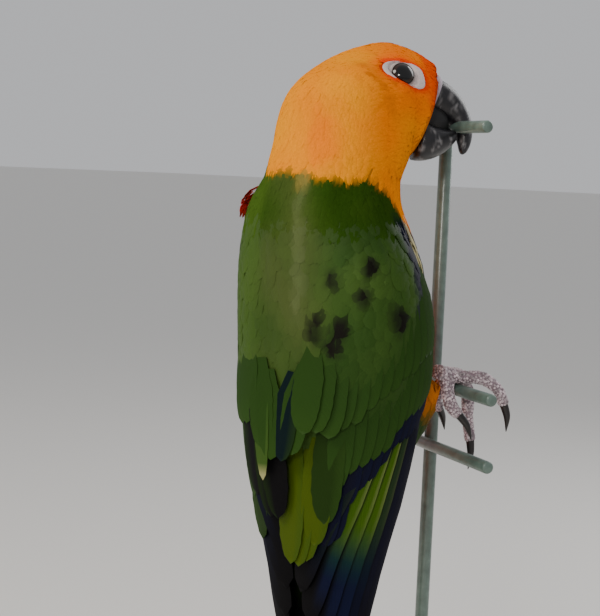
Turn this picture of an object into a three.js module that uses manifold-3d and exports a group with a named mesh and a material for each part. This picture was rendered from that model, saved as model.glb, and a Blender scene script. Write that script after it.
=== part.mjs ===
// A life-size jenday conure that clings upright to short lengths of wire, on a plain display stand.
// Millimetres, +Z up. The belly faces +Y, the bird's right side faces +X, and the origin is the
// bottom centre of the stand's base.
import * as THREE from "three";
import { mergeVertices } from "three/addons/utils/BufferGeometryUtils.js";
import Module from "manifold-3d";

const wasm = await Module();
wasm.setup();

// Driving sizes of the whole model.
const GAP = 0.3;
const CLEAR = 0.35;
const BODY_AXIS = new THREE.Vector3(0, -16, 0);
const VENT_Z = 150;
const NECK_CUT_Z = 271;
const HUGE = 400;

// The stand and the wires that the bird holds.
const BASE = { width: 150, depth: 124, height: 12, corner: 12, bevel: 1.5 };
const WIRE_RADIUS = 2;
const ROD_RADIUS = 2.3;
const WIRE_SIDES = 12;
const WIRE_TURN = THREE.MathUtils.degToRad(27.3);
const WIRE_SPACING = 21.3;
const GRIP_Z = 206.4;
const BITE_Z = GRIP_Z + 4 * WIRE_SPACING;
const RIGHT_GRIP = new THREE.Vector3(26.3, 32.5, GRIP_Z);
const LEFT_GRIP_DISTANCE = 44;
const ROD_DISTANCE = 26;
const WIRE_ALONG = new THREE.Vector3(-Math.cos(WIRE_TURN), Math.sin(WIRE_TURN), 0);
const WIRE_OUT = new THREE.Vector3(Math.sin(WIRE_TURN), Math.cos(WIRE_TURN), 0);

// The head's place and turn: heading to the bird's right, then pitch, then roll.
const HEAD_CENTRE = new THREE.Vector3(-1.6, 14.9, 297);
const HEAD_TURN = new THREE.Euler(
  THREE.MathUtils.degToRad(-2),
  THREE.MathUtils.degToRad(-21),
  THREE.MathUtils.degToRad(-35),
  "ZXY",
);
const HEAD_FRAME = new THREE.Matrix4()
  .makeRotationFromEuler(HEAD_TURN)
  .setPosition(HEAD_CENTRE);

// Trunk rings from the vent to inside the head: height, half width, back, front, centre x, y.
const TRUNK = [
  [VENT_Z, 11, 8, 9, 0, -1],
  [160, 16, 12.5, 14, 0, -1],
  [172, 21.5, 17.5, 20, 0, 0],
  [186, 26, 22, 26, 0, 0],
  [202, 28.5, 25, 30, 0, 0],
  [218, 29.5, 26.5, 31, 0, 0],
  [234, 29, 26.5, 30.5, 0, 0],
  [248, 27.5, 26, 28.5, -0.8, -0.8],
  [258, 25.5, 24.8, 26, -2.4, -2],
  [266, 23, 22.8, 23.6, -3.2, -2],
  [274, 21.8, 21.6, 22, -3.4, -0.8],
  [282, 22.6, 22, 22, -3, 1.8],
  [289, 22.4, 21.8, 20, -2.6, 4.2],
  [295, 20, 19.6, 17, -2.4, 5.8],
  [300, 15.6, 15.4, 13, -2.2, 7],
  [304, 9, 9, 8, -2, 8],
];
const TRUNK_SIDES = 28;

// Head stations along its own forward axis: distance, half width, top, bottom.
const HEAD = [
  [-29, 6, 3.4, 7],
  [-26, 11.4, 7, 11.4],
  [-19, 15.6, 12.6, 16],
  [-10, 17.6, 17, 18],
  [0, 18, 18.8, 18.2],
  [7, 17.4, 18, 17.4],
  [13, 15.6, 16.4, 16],
  [19, 12, 13.4, 13.6],
  [23, 8, 9, 11],
];
const HEAD_SIDES = 24;
const HEAD_STEP = 3.5;

// The eye, its socket and the bare ring round it, in the head's frame.
const EYE_RADIUS = 4.6;
const EYE_PLACE = { forward: 5.4, side: 13.4, up: 4.6 };
const LID_RADIUS = 4.4;
const LID_TUBE = 0.8;

// The folded wing's outer surface: height, half width, centre x, y. Its depth is a fixed share.
const ENVELOPE = [
  [104, 15, 0, 0],
  [120, 17.3, 0, 0],
  [134, 20.2, 0, 0],
  [155, 24.9, 0, 0],
  [170, 28.4, 0, 0],
  [186, 31.5, 0, 0],
  [202, 33.8, 0, 0],
  [218, 35, 0, 0],
  [234, 34.8, -0.6, -0.5],
  [247, 33.2, -1.6, -1.4],
  [258, 29.8, -3.2, -2.8],
  [266, 26.6, -4.2, -3.4],
  [275, 22.4, -3.6, -2],
];
const ENVELOPE_DEPTH = 0.88;

function along(table, x, column) {
  const last = table.length - 1;
  if (x <= table[0][0]) return table[0][column];
  if (x >= table[last][0]) return table[last][column];
  let i = 0;
  while (x > table[i + 1][0]) i += 1;
  const slope = (k) => {
    const low = table[Math.max(k - 1, 0)];
    const high = table[Math.min(k + 1, last)];
    return (high[column] - low[column]) / (high[0] - low[0]);
  };
  const step = table[i + 1][0] - table[i][0];
  const t = (x - table[i][0]) / step;
  const rise = t * t * (3 - 2 * t);
  return (
    table[i][column] * (1 - rise) +
    table[i + 1][column] * rise +
    slope(i) * step * t * (1 - t) * (1 - t) -
    slope(i + 1) * step * t * t * (1 - t)
  );
}

// A repeatable random number from 0 to 1.
function makeRandom(seed) {
  let state = seed;
  return () => {
    state = (state * 1664525 + 1013904223) % 4294967296;
    return state / 4294967296;
  };
}

// A closed solid from points and faces, turned right side out.
function body(points, faces) {
  const vertProperties = new Float32Array(points.length * 3);
  points.forEach((p, i) => p.toArray(vertProperties, i * 3));
  const make = (triVerts) => new wasm.Manifold(new wasm.Mesh({ numProp: 3, vertProperties, triVerts }));
  const solid = make(new Uint32Array(faces));
  if (solid.volume() > 0) return solid;
  const turned = [];
  for (let i = 0; i < faces.length; i += 3) turned.push(faces[i], faces[i + 2], faces[i + 1]);
  return make(new Uint32Array(turned));
}

// A solid from a three.js geometry, placed by a matrix.
function fromGeometry(geometry, matrix = new THREE.Matrix4()) {
  const bare = geometry.clone();
  bare.deleteAttribute("normal");
  bare.deleteAttribute("uv");
  bare.applyMatrix4(matrix);
  const merged = mergeVertices(bare, 1e-4);
  const vertProperties = new Float32Array(merged.attributes.position.array);
  const triVerts = new Uint32Array(merged.index.array);
  return new wasm.Manifold(new wasm.Mesh({ numProp: 3, vertProperties, triVerts }));
}

function toGeometry(solid) {
  const mesh = solid.getMesh();
  const geometry = new THREE.BufferGeometry();
  geometry.setAttribute("position", new THREE.BufferAttribute(new Float32Array(mesh.vertProperties), 3));
  geometry.setIndex(new THREE.BufferAttribute(new Uint32Array(mesh.triVerts), 1));
  geometry.computeVertexNormals();
  return geometry;
}

function largest(solid) {
  return solid.decompose().reduce((a, b) => (b.volume() > a.volume() ? b : a));
}

// A closed body through rings of points, with a fan at each end.
function loft(rings) {
  const sides = rings[0].length;
  const points = rings.flat();
  const faces = [];
  const last = (rings.length - 1) * sides;
  const start = points.length;
  for (const ring of [rings[0], rings[rings.length - 1]]) {
    const centre = ring.reduce((sum, p) => sum.add(p), new THREE.Vector3());
    points.push(centre.divideScalar(sides));
  }
  for (let j = 0; j < sides; j += 1) {
    const next = (j + 1) % sides;
    for (let k = 0; k < last; k += sides) {
      faces.push(k + j, k + next, k + sides + next);
      faces.push(k + j, k + sides + next, k + sides + j);
    }
    faces.push(start, next, j);
    faces.push(start + 1, last + j, last + next);
  }
  return body(points, faces);
}

// One oval ring: side and up are unit vectors, top and bottom are its two half heights.
function oval(centre, side, up, halfWidth, top, bottom, sides) {
  const ring = [];
  for (let j = 0; j < sides; j += 1) {
    const angle = (j / sides) * 2 * Math.PI;
    const height = Math.sin(angle) > 0 ? top : bottom;
    ring.push(
      centre
        .clone()
        .addScaledVector(side, halfWidth * Math.cos(angle))
        .addScaledVector(up, height * Math.sin(angle)),
    );
  }
  return ring;
}

// A round tapered tube along points, with one radius for each point.
const TUBE_STEPS = 2;

function tube(points, radii, sides) {
  const curve = new THREE.CatmullRomCurve3(points, false, "centripetal");
  const steps = (points.length - 1) * TUBE_STEPS;
  const frames = curve.computeFrenetFrames(steps, false);
  const rings = [];
  for (let k = 0; k <= steps; k += 1) {
    const at = k / TUBE_STEPS;
    const i = Math.min(Math.floor(at), radii.length - 2);
    const radius = THREE.MathUtils.lerp(radii[i], radii[i + 1], at - i);
    const centre = curve.getPoint(k / steps);
    rings.push(oval(centre, frames.normals[k], frames.binormals[k], radius, radius, radius, sides));
  }
  return loft(rings);
}

// A thin tapered plate along a spine. Both faces are split into triangles alike.
function plate(stations) {
  const points = [];
  const faces = [];
  for (const { centre, side, normal, left, right, thickness } of stations) {
    for (const [across, lift] of [[-left, 1], [right, 1], [-left, -1], [right, -1]]) {
      points.push(
        centre
          .clone()
          .addScaledVector(side, across)
          .addScaledVector(normal, (lift * thickness) / 2),
      );
    }
  }
  for (let k = 0; k < stations.length - 1; k += 1) {
    const [a, b, c, d] = [0, 1, 2, 3].map((n) => k * 4 + n);
    const [e, f, g, h] = [4, 5, 6, 7].map((n) => k * 4 + n);
    faces.push(a, b, f, a, f, e);
    faces.push(c, h, d, c, g, h);
    faces.push(b, d, h, b, h, f);
    faces.push(a, g, c, a, e, g);
  }
  const tip = (stations.length - 1) * 4;
  faces.push(0, 2, 3, 0, 3, 1);
  faces.push(tip, tip + 1, tip + 3, tip, tip + 3, tip + 2);
  return body(points, faces);
}

// A feather's half width along its length, as a share of its widest half width.
function featherWidth(s) {
  const swell = Math.min(1, 0.45 + 1.5 * s);
  const end = s < 0.72 ? 1 : Math.sqrt(Math.max(0, 1 - ((s - 0.72) / 0.3) ** 2));
  return swell * end;
}

// A box that fills the side of a plane that its normal points to.
function halfSpace(point, normal) {
  const out = normal.clone().normalize();
  const turn = new THREE.Quaternion().setFromUnitVectors(new THREE.Vector3(0, 0, 1), out);
  const centre = point.clone().addScaledVector(out, HUGE / 2);
  const matrix = new THREE.Matrix4().compose(centre, turn, new THREE.Vector3(1, 1, 1));
  return fromGeometry(new THREE.BoxGeometry(HUGE, HUGE, HUGE), matrix);
}

// The trunk from vent to neck, grown evenly by the given amount.
function trunk(grow) {
  const [side, up] = [new THREE.Vector3(1, 0, 0), new THREE.Vector3(0, 1, 0)];
  const rings = TRUNK.map(([z, halfWidth, back, front, x, y], k) => {
    const centre = new THREE.Vector3(x, y, k === 0 ? z - grow : z);
    return oval(centre, side, up, halfWidth + grow, front + grow, back + grow, TRUNK_SIDES);
  });
  return loft(rings);
}

function inHead(forward, left, up) {
  return new THREE.Vector3(-left, forward, up).applyMatrix4(HEAD_FRAME);
}

const HEAD_LEFT = inHead(0, 1, 0).sub(HEAD_CENTRE);
const HEAD_FORWARD = inHead(1, 0, 0).sub(HEAD_CENTRE);
const HEAD_UP = inHead(0, 0, 1).sub(HEAD_CENTRE);

function skull(grow) {
  const rings = [];
  const [first, last] = [HEAD[0][0], HEAD[HEAD.length - 1][0]];
  const count = Math.round((last - first) / HEAD_STEP);
  for (let k = 0; k <= count; k += 1) {
    const x = first + ((last - first) * k) / count;
    const [halfWidth, top, bottom] = [1, 2, 3].map((column) => along(HEAD, x, column) + grow);
    rings.push(oval(inHead(x, 0, 0), HEAD_LEFT, HEAD_UP, halfWidth, top, bottom, HEAD_SIDES));
  }
  return loft(rings);
}

// The face plane, which the two halves of the bill stand on, leans back towards the chin.
const FACE = { forward: 18.5, lean: THREE.MathUtils.degToRad(17) };
const FACE_UP = HEAD_FORWARD.clone()
  .multiplyScalar(Math.sin(FACE.lean))
  .addScaledVector(HEAD_UP, Math.cos(FACE.lean));
const FACE_OUT = FACE_UP.clone().cross(HEAD_LEFT).negate();

// Bill: each half is a row of rings along a curve in the head's middle plane.
const UPPER_BILL = { rise: 6, length: 25, halfWidth: 7.6, height: 5.4, start: -12, end: -112 };
const LOWER_BILL = { rise: -10.4, length: 12.5, halfWidth: 6.6, height: 6.6, start: -12, end: 34 };
const TONGUE = { rise: -2.1, length: 5, halfWidth: 2.4, height: 1, start: -30, end: -20 };
const BILL_STEPS = 9;
const BILL_SIDES = 16;

function billHalf(shape, taper, sides = BILL_SIDES) {
  const rings = [];
  const centre = inHead(FACE.forward, 0, 0)
    .addScaledVector(FACE_UP, shape.rise / Math.cos(FACE.lean))
    .addScaledVector(FACE_OUT, GAP);
  for (let k = 0; k <= BILL_STEPS; k += 1) {
    const s = k / BILL_STEPS;
    const angle = THREE.MathUtils.degToRad(THREE.MathUtils.lerp(shape.start, shape.end, s ** 0.9));
    const heading = HEAD_FORWARD.clone()
      .multiplyScalar(Math.cos(angle))
      .addScaledVector(HEAD_UP, Math.sin(angle));
    const across = HEAD_LEFT.clone().cross(heading).negate();
    const [width, height] = taper(s);
    const up = k === 0 ? FACE_UP : across;
    const rise = shape.height * height;
    rings.push(oval(centre, HEAD_LEFT, up, shape.halfWidth * width, rise, rise, sides));
    centre.addScaledVector(heading, shape.length / BILL_STEPS);
  }
  return loft(rings);
}

const upperBill = () =>
  billHalf(UPPER_BILL, (s) => [0.1 + 0.9 * (1 - s) ** 0.75, 0.12 + 0.88 * (1 - s) ** 0.6]);
const lowerBill = () => billHalf(LOWER_BILL, (s) => [1 - 0.45 * s * s, 1 - 0.72 * s ** 1.2]);
const tongue = () => billHalf(TONGUE, (s) => [1 - 0.4 * s * s, 1 - 0.4 * s * s], 10);

// The cere: a low swelling on each side above the bill, with the nostril in its middle.
const CERE = { forward: 20.2, side: 3.5, up: 9.6, radius: 2.7, nostril: 0.85 };

function cere(side, radius, rise) {
  const place = inHead(CERE.forward, -side * CERE.side, CERE.up + rise);
  return fromGeometry(new THREE.IcosahedronGeometry(radius, 1).translate(place.x, place.y, place.z));
}

function eyeCentre(side) {
  return inHead(EYE_PLACE.forward, -side * EYE_PLACE.side, EYE_PLACE.up);
}

function eyeball(side, grow) {
  const matrix = new THREE.Matrix4().setPosition(eyeCentre(side));
  return fromGeometry(new THREE.IcosahedronGeometry(EYE_RADIUS + grow, 2), matrix);
}

function lidRing(side) {
  const outward = new THREE.Vector3(side, 0.34, 0.22)
    .normalize()
    .transformDirection(HEAD_FRAME);
  const turn = new THREE.Quaternion().setFromUnitVectors(new THREE.Vector3(0, 0, 1), outward);
  const centre = eyeCentre(side).addScaledVector(outward, EYE_RADIUS * 0.42);
  const matrix = new THREE.Matrix4().compose(centre, turn, new THREE.Vector3(1, 1, 1));
  return fromGeometry(new THREE.TorusGeometry(LID_RADIUS, LID_TUBE, 5, 18), matrix);
}

// A point on the folded wing's outer surface: angle from the middle of the back, height, lift.
function onWing(side, degrees, z, lift) {
  const angle = THREE.MathUtils.degToRad(degrees);
  const halfWidth = along(ENVELOPE, z, 1);
  const halfDepth = halfWidth * ENVELOPE_DEPTH;
  const normal = new THREE.Vector3(Math.sin(angle) / halfWidth, -Math.cos(angle) / halfDepth, 0).normalize();
  const point = new THREE.Vector3(halfWidth * Math.sin(angle), -halfDepth * Math.cos(angle), z);
  point.addScaledVector(normal, lift);
  point.x *= side;
  normal.x *= side;
  point.x += along(ENVELOPE, z, 2);
  point.y += along(ENVELOPE, z, 3);
  return { point, normal };
}

// One wing feather between a root and a tip that are given as angle, height and lift.
function wingVane(side, root, tip, halfWidth, tilt, thickness, steps = 4) {
  const spine = [];
  for (let k = 0; k <= steps; k += 1) {
    const s = k / steps;
    const [degrees, z, lift] = [0, 1, 2].map((i) => THREE.MathUtils.lerp(root[i], tip[i], s));
    spine.push(onWing(side, degrees, z, lift));
  }
  const stations = spine.map(({ point, normal }, k) => {
    const s = k / steps;
    const before = spine[Math.max(k - 1, 0)].point;
    const after = spine[Math.min(k + 1, steps)].point;
    const tangent = after.clone().sub(before).normalize();
    const flat = normal.clone().addScaledVector(tangent, -normal.dot(tangent)).normalize();
    flat.applyAxisAngle(tangent, side * THREE.MathUtils.degToRad(tilt));
    const width = halfWidth * featherWidth(s);
    return {
      centre: point,
      side: tangent.clone().cross(flat),
      normal: flat,
      left: width,
      right: width,
      thickness: thickness * (1 - 0.15 * s),
    };
  });
  return plate(stations);
}

// The thick upper part of the folded wing, under the covert feathers.
const PAD_TOP = 275;
const PAD_BOTTOM = 184;
const PAD_LEVELS = 10;
const PAD_ARC = 9;
const PAD_LEAD = [
  [PAD_BOTTOM, 114],
  [205, 121],
  [230, 124],
  [250, 122],
  [262, 114],
  [PAD_TOP, 92],
];
const PAD_TRAIL = [
  [PAD_BOTTOM, 14],
  [205, 8],
  [225, 7],
  [240, 14],
  [255, 22],
  [PAD_TOP, 40],
];
const PAD_LIFT = [
  [PAD_BOTTOM, -5.6],
  [196, -4],
  [210, -3.3],
  [225, -2.3],
  [240, -1.2],
  [252, -0.5],
  [PAD_TOP, -0.6],
];
const PAD_EDGE_LIFT = -7.5;
const PAD_INNER_LIFT = -11;

function wingPad(side) {
  const rings = [];
  for (let k = 0; k <= PAD_LEVELS; k += 1) {
    const z = THREE.MathUtils.lerp(PAD_BOTTOM, PAD_TOP, k / PAD_LEVELS);
    const [from, to, rise] = [PAD_TRAIL, PAD_LEAD, PAD_LIFT].map((table) => along(table, z, 1));
    const ring = [];
    for (let j = 0; j <= PAD_ARC; j += 1) {
      const share = Math.sin((j / PAD_ARC) * Math.PI) ** 0.35;
      const degrees = THREE.MathUtils.lerp(from, to, j / PAD_ARC);
      ring.push(onWing(side, degrees, z, THREE.MathUtils.lerp(PAD_EDGE_LIFT, rise, share)).point);
    }
    for (let j = PAD_ARC; j >= 0; j -= 1) {
      const degrees = THREE.MathUtils.lerp(from, to, j / PAD_ARC);
      ring.push(onWing(side, degrees, z, PAD_INNER_LIFT).point);
    }
    rings.push(ring);
  }
  return loft(rings);
}

// Rows of wing feathers, walked by share t from the middle of the back to the leading edge.
// Each secondary has its own greater and median covert over it, so that the rows nest.
const PRIMARIES = { count: 9, halfWidth: 4.5, thickness: 0.5, topZ: 154, reach: 49 };
const COLUMNS = 11;
const FIRST_COVERT = 2;
const SCAPULARS = {
  count: 5,
  halfWidth: 7,
  thickness: 0.55,
  tilt: 4,
  firstZ: 190,
  length: 28,
  climb: 44,
  rootDepth: 1.7,
};
const ROW_EDGE = [
  [0, 5, 156],
  [0.25, 36, 161],
  [0.45, 60, 171],
  [0.65, 83, 183],
  [0.85, 105, 195],
  [1, 119, 206],
];
const ROWS = [
  { above: 0, length: 40, lift: -1.7, first: 0, steps: 4 },
  { above: 22, length: 25, lift: -0.7, first: FIRST_COVERT, steps: 4 },
  { above: 39, length: 22, lift: 0.1, first: FIRST_COVERT, steps: 3 },
];
const ROOT_DEPTH = 0.9;
const ROW_TILT = 17;
const OUTER_TILT = 10;
const ROW_HALF_WIDTH = 5.7;
const ROW_THICKNESS = 0.5;

function wing(side, seed) {
  const random = makeRandom(seed);
  const vanes = [];
  for (let i = 0; i < PRIMARIES.count; i += 1) {
    const t = i / (PRIMARIES.count - 1);
    const tipZ = PRIMARIES.topZ - PRIMARIES.reach * Math.sin((t * Math.PI) / 1.75);
    const root = [56 + 62 * t, 196 + 10 * t, -4.2 - 0.4 * t];
    const tip = [3 + 91 * t ** 1.3, tipZ, -0.6 - 1.8 * t];
    const tilt = ROW_TILT + OUTER_TILT * t;
    vanes.push(wingVane(side, root, tip, PRIMARIES.halfWidth, tilt, PRIMARIES.thickness));
  }
  for (let column = 0; column < COLUMNS; column += 1) {
    const t = column / (COLUMNS - 1);
    const degrees = along(ROW_EDGE, t, 1);
    for (const row of ROWS.filter(({ first }) => column >= first)) {
      const tipZ = along(ROW_EDGE, t, 2) + row.above * (1 - 0.35 * t) + (random() - 0.5) * 2;
      const rootZ = tipZ + row.length;
      const turn = 0.1 * (60 - degrees);
      const root = [degrees + turn, rootZ, along(PAD_LIFT, rootZ, 1) - ROOT_DEPTH - t];
      const tip = [degrees, tipZ, row.lift - 1.6 * t];
      const tilt = ROW_TILT + OUTER_TILT * t;
      vanes.push(wingVane(side, root, tip, ROW_HALF_WIDTH - 0.7 * t, tilt, ROW_THICKNESS, row.steps));
    }
  }
  for (let i = 0; i < SCAPULARS.count; i += 1) {
    const t = i / (SCAPULARS.count - 1);
    const tipZ = SCAPULARS.firstZ + SCAPULARS.climb * t;
    const rootZ = tipZ + SCAPULARS.length;
    const root = [34 + 4 * t, rootZ, along(PAD_LIFT, rootZ, 1) - SCAPULARS.rootDepth];
    const tip = [13 + 4 * t, tipZ, 0.6];
    vanes.push(wingVane(side, root, tip, SCAPULARS.halfWidth, SCAPULARS.tilt, SCAPULARS.thickness));
  }
  return vanes.reduce((sum, vane) => sum.add(vane), wingPad(side));
}

// The tail: twelve graduated feathers in a stack, the middle pair longest and outermost. Their
// roots lie in a tapering core under short upper and long under tail coverts.
const TAIL_TOP = VENT_Z - GAP;
const TAIL_PAIRS = 6;
const TAIL_TIP_Z = 23;
const TAIL_ROOT_Z = 128;
const TAIL_LAYER = 0.85;
const TAIL_LEAN = 0.03;
const TAIL_CORE = [
  [106, 5, 3],
  [116, 8.4, 5],
  [128, 9.8, 6.3],
  [140, 10.4, 7.2],
  [TAIL_TOP, 10.8, 8.2],
];
// The room that the folded wings leave for the tail.
const TAIL_ROOM = [
  [100, 11.4, 7.6],
  [128, 11.4, 8.2],
  [140, 12, 8.8],
  [TAIL_TOP, 12.4, 9.6],
];
const TAIL_COVERTS = [
  { face: -1, tipZ: 110, pairs: 2, halfWidth: 4.6, depth: 6.7 },
  { face: 1, tipZ: 92, pairs: 2, halfWidth: 4.8, depth: 6.7 },
];
const TAIL_COVERT_ROOT_Z = 143;
const TAIL_COVERT_STEP = { out: 3.1, rise: 3.5, depth: 0.6 };
const TAIL_COVERT_STEPS = 4;
const TAIL_STEPS = 5;
const TAIL_SIDES = 18;

const tailCentre = (z) => new THREE.Vector3(0, -1 + (TAIL_TOP - z) * TAIL_LEAN, z);

function tailLoft(table) {
  const rings = [];
  for (let k = 0; k <= TAIL_STEPS; k += 1) {
    const z = THREE.MathUtils.lerp(table[0][0], TAIL_TOP, k / TAIL_STEPS);
    const [halfWidth, depth] = [along(table, z, 1), along(table, z, 2)];
    const [side, up] = [new THREE.Vector3(1, 0, 0), new THREE.Vector3(0, 1, 0)];
    rings.push(oval(tailCentre(z), side, up, halfWidth, depth, depth, TAIL_SIDES));
  }
  return loft(rings);
}

function tailVane(side, pair) {
  const t = pair / (TAIL_PAIRS - 1);
  const tipZ = TAIL_TIP_Z + 66 * t ** 1.15 + (side > 0 ? 0 : 1.5);
  const depth = -4.6 + (2 * pair + (side > 0 ? 0 : 1)) * TAIL_LAYER;
  const stations = [];
  for (let k = 0; k <= TAIL_STEPS; k += 1) {
    const s = k / TAIL_STEPS;
    const z = THREE.MathUtils.lerp(TAIL_ROOT_Z, tipZ, s);
    const out = side * (1.8 + 1.6 * t + (1.4 + 3.6 * t) * s);
    const width = (7.2 - 1.6 * t) * featherWidth(0.2 + 0.8 * s);
    stations.push({
      centre: tailCentre(z).add(new THREE.Vector3(out, depth, 0)),
      side: new THREE.Vector3(-1, 0, 0),
      normal: new THREE.Vector3(0, -1, 0),
      left: width,
      right: width,
      thickness: 0.55,
    });
  }
  return plate(stations);
}

// One tail covert, numbered outwards from the middle one to the right or to the left.
function tailCovert(row, index) {
  const level = Math.abs(index);
  const tipZ = row.tipZ + level * TAIL_COVERT_STEP.rise;
  const depth = row.face * (row.depth - level * TAIL_COVERT_STEP.depth);
  const stations = [];
  for (let k = 0; k <= TAIL_COVERT_STEPS; k += 1) {
    const s = k / TAIL_COVERT_STEPS;
    const z = THREE.MathUtils.lerp(TAIL_COVERT_ROOT_Z, tipZ, s);
    const width = row.halfWidth * featherWidth(0.2 + 0.8 * s);
    stations.push({
      centre: tailCentre(z).add(new THREE.Vector3(index * TAIL_COVERT_STEP.out, depth, 0)),
      side: new THREE.Vector3(-row.face, 0, 0),
      normal: new THREE.Vector3(0, row.face, 0),
      left: width,
      right: width,
      thickness: 0.5,
    });
  }
  return plate(stations);
}

function tail() {
  let solid = tailLoft(TAIL_CORE);
  for (let pair = 0; pair < TAIL_PAIRS; pair += 1) {
    for (const side of [1, -1]) solid = solid.add(tailVane(side, pair));
  }
  for (const row of TAIL_COVERTS) {
    for (let index = -row.pairs; index <= row.pairs; index += 1) solid = solid.add(tailCovert(row, index));
  }
  return solid;
}

// Legs: a feathered thigh, then the bare foot with two toes over the wire and two under it.
const LEGS = {
  right: {
    grip: RIGHT_GRIP,
    hip: new THREE.Vector3(14, 12, 190),
    ankle: new THREE.Vector3(24.5, 23, 213),
  },
  left: {
    grip: RIGHT_GRIP.clone().addScaledVector(WIRE_ALONG, LEFT_GRIP_DISTANCE),
    hip: new THREE.Vector3(-13, 16, 190),
    ankle: new THREE.Vector3(-13.5, 40, 214),
  },
};
const TOE_SIDES = 6;
const ANKLE_ROOM = 4;

function thigh(leg, grow) {
  const { hip, ankle } = leg;
  const middle = hip.clone().lerp(ankle, 0.55);
  return tube([hip, middle, ankle], [9 + grow, 7 + grow, 3.4 + grow], 12);
}

// A point near the grip: along the wire, outwards through the wires, and up.
function atGrip(leg, alongWire, out, up) {
  return leg.grip
    .clone()
    .addScaledVector(WIRE_ALONG, alongWire)
    .addScaledVector(WIRE_OUT, out)
    .add(new THREE.Vector3(0, 0, up));
}

const TOES = {
  right: [
    [[0, -4.5, 5], [-1.5, 1.5, 4.6], [-3.5, 7, 4.2], [-5, 12, 0.5], [-5.5, 14, -4]],
    [[0, -4.5, 5], [2.5, 1.5, 4.4], [3.5, 5.2, -1], [2.5, 5.4, -10], [1.5, 6.2, -17]],
    [[0, -4.5, 5], [-3, -5.6, 0], [-5, -5, -4.5], [-6, -2.6, -7]],
    [[0, -4.5, 5], [3, -5.6, 0], [6.5, -5, -4.5], [8, -2.6, -7]],
  ],
  left: [
    [[0, -4.5, 5], [-2.5, 1.5, 4.6], [-4.2, 5.2, 1.5], [-5, 5.6, -4]],
    [[0, -4.5, 5], [2.5, 1.5, 4.6], [4.2, 5.5, 2.5], [5, 6, -4]],
    [[0, -4.5, 5], [-3, -5.6, 0], [-3.5, -5, -4.5], [-3.5, -2.6, -7]],
    [[0, -4.5, 5], [3, -5.6, 0], [3.5, -5, -4.5], [3.5, -2.6, -7]],
  ],
};
const TOE_RADII = [2.6, 2.1, 2, 1.9, 1.6];
const CLAW_LENGTH = 8;

function foot(name) {
  const leg = LEGS[name];
  const palm = atGrip(leg, 0, -4.5, 5);
  const shin = tube([leg.ankle, leg.ankle.clone().lerp(palm, 0.6), palm], [2.6, 2.3, 2.9], TOE_SIDES);
  return TOES[name].reduce((sum, path) => {
    const points = path.map((p) => atGrip(leg, ...p));
    return sum.add(tube(points, TOE_RADII.slice(0, points.length), TOE_SIDES));
  }, shin);
}

function claw(name, index) {
  const leg = LEGS[name];
  const path = TOES[name][index].map((p) => atGrip(leg, ...p));
  const end = path[path.length - 1];
  const heading = end.clone().sub(path[path.length - 2]).normalize();
  const start = end.clone().addScaledVector(heading, GAP);
  const hook = new THREE.Vector3(0, 0, -1).addScaledVector(WIRE_OUT, index < 2 ? -0.4 : 0).normalize();
  const middle = start.clone().addScaledVector(heading, CLAW_LENGTH * 0.45).addScaledVector(hook, 0.8);
  const tip = middle.clone().addScaledVector(heading, CLAW_LENGTH * 0.3).addScaledVector(hook, 3);
  return tube([start, middle, tip], [1.35, 1, 0.25], TOE_SIDES);
}

function wire(start, end, radius) {
  const direction = end.clone().sub(start);
  const heading = direction.clone().normalize();
  const turn = new THREE.Quaternion().setFromUnitVectors(new THREE.Vector3(0, 1, 0), heading);
  const centre = start.clone().lerp(end, 0.5);
  const matrix = new THREE.Matrix4().compose(centre, turn, new THREE.Vector3(1, 1, 1));
  return fromGeometry(new THREE.CylinderGeometry(radius, radius, direction.length(), WIRE_SIDES), matrix);
}

const CROSS_WIRES = {
  perch_wire_feet: { z: GRIP_Z, from: -22, to: 62 },
  perch_wire_lower: { z: GRIP_Z - WIRE_SPACING, from: -22, to: 62 },
  perch_wire_bill: { z: BITE_Z, from: -10, to: 42 },
};

function crossWire({ z, from, to }, grow) {
  const middle = RIGHT_GRIP.clone().setZ(z);
  const start = middle.clone().addScaledVector(WIRE_ALONG, from - grow);
  const end = middle.clone().addScaledVector(WIRE_ALONG, to + grow);
  return wire(start, end, WIRE_RADIUS + grow);
}

const ROD_TOP = 8;
const rodFoot = RIGHT_GRIP.clone()
  .setZ(0)
  .addScaledVector(WIRE_ALONG, ROD_DISTANCE)
  .addScaledVector(WIRE_OUT, WIRE_RADIUS + ROD_RADIUS + GAP);

function standRod() {
  return wire(rodFoot.clone().setZ(BASE.height + GAP), rodFoot.clone().setZ(BITE_Z + ROD_TOP), ROD_RADIUS);
}

function standBase() {
  const { width, depth, height, corner, bevel } = BASE;
  const shape = new THREE.Shape();
  const [w, d] = [width / 2 - bevel, depth / 2 - bevel];
  shape.moveTo(-w + corner, -d);
  shape.lineTo(w - corner, -d);
  shape.absarc(w - corner, -d + corner, corner, -Math.PI / 2, 0, false);
  shape.lineTo(w, d - corner);
  shape.absarc(w - corner, d - corner, corner, 0, Math.PI / 2, false);
  shape.lineTo(-w + corner, d);
  shape.absarc(-w + corner, d - corner, corner, Math.PI / 2, Math.PI, false);
  shape.lineTo(-w, -d + corner);
  shape.absarc(-w + corner, -d + corner, corner, Math.PI, 1.5 * Math.PI, false);
  const geometry = new THREE.ExtrudeGeometry(shape, {
    depth: height - 2 * bevel,
    bevelThickness: bevel,
    bevelSize: bevel,
    bevelSegments: 1,
    curveSegments: 5,
  });
  geometry.translate(-BODY_AXIS.x, -BODY_AXIS.y, bevel);
  return fromGeometry(geometry);
}

// Put the solids together. Each piece is cut clear of the ones that it grows from.
const neckCut = new THREE.Vector3(-4, 0, NECK_CUT_Z);
const neckUp = new THREE.Vector3(0, 0.1, 1).normalize();
const headCut = inHead(-8, 0, -11);
const headBack = HEAD_FORWARD.clone().multiplyScalar(0.62).addScaledVector(HEAD_UP, 0.78).normalize();

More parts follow.
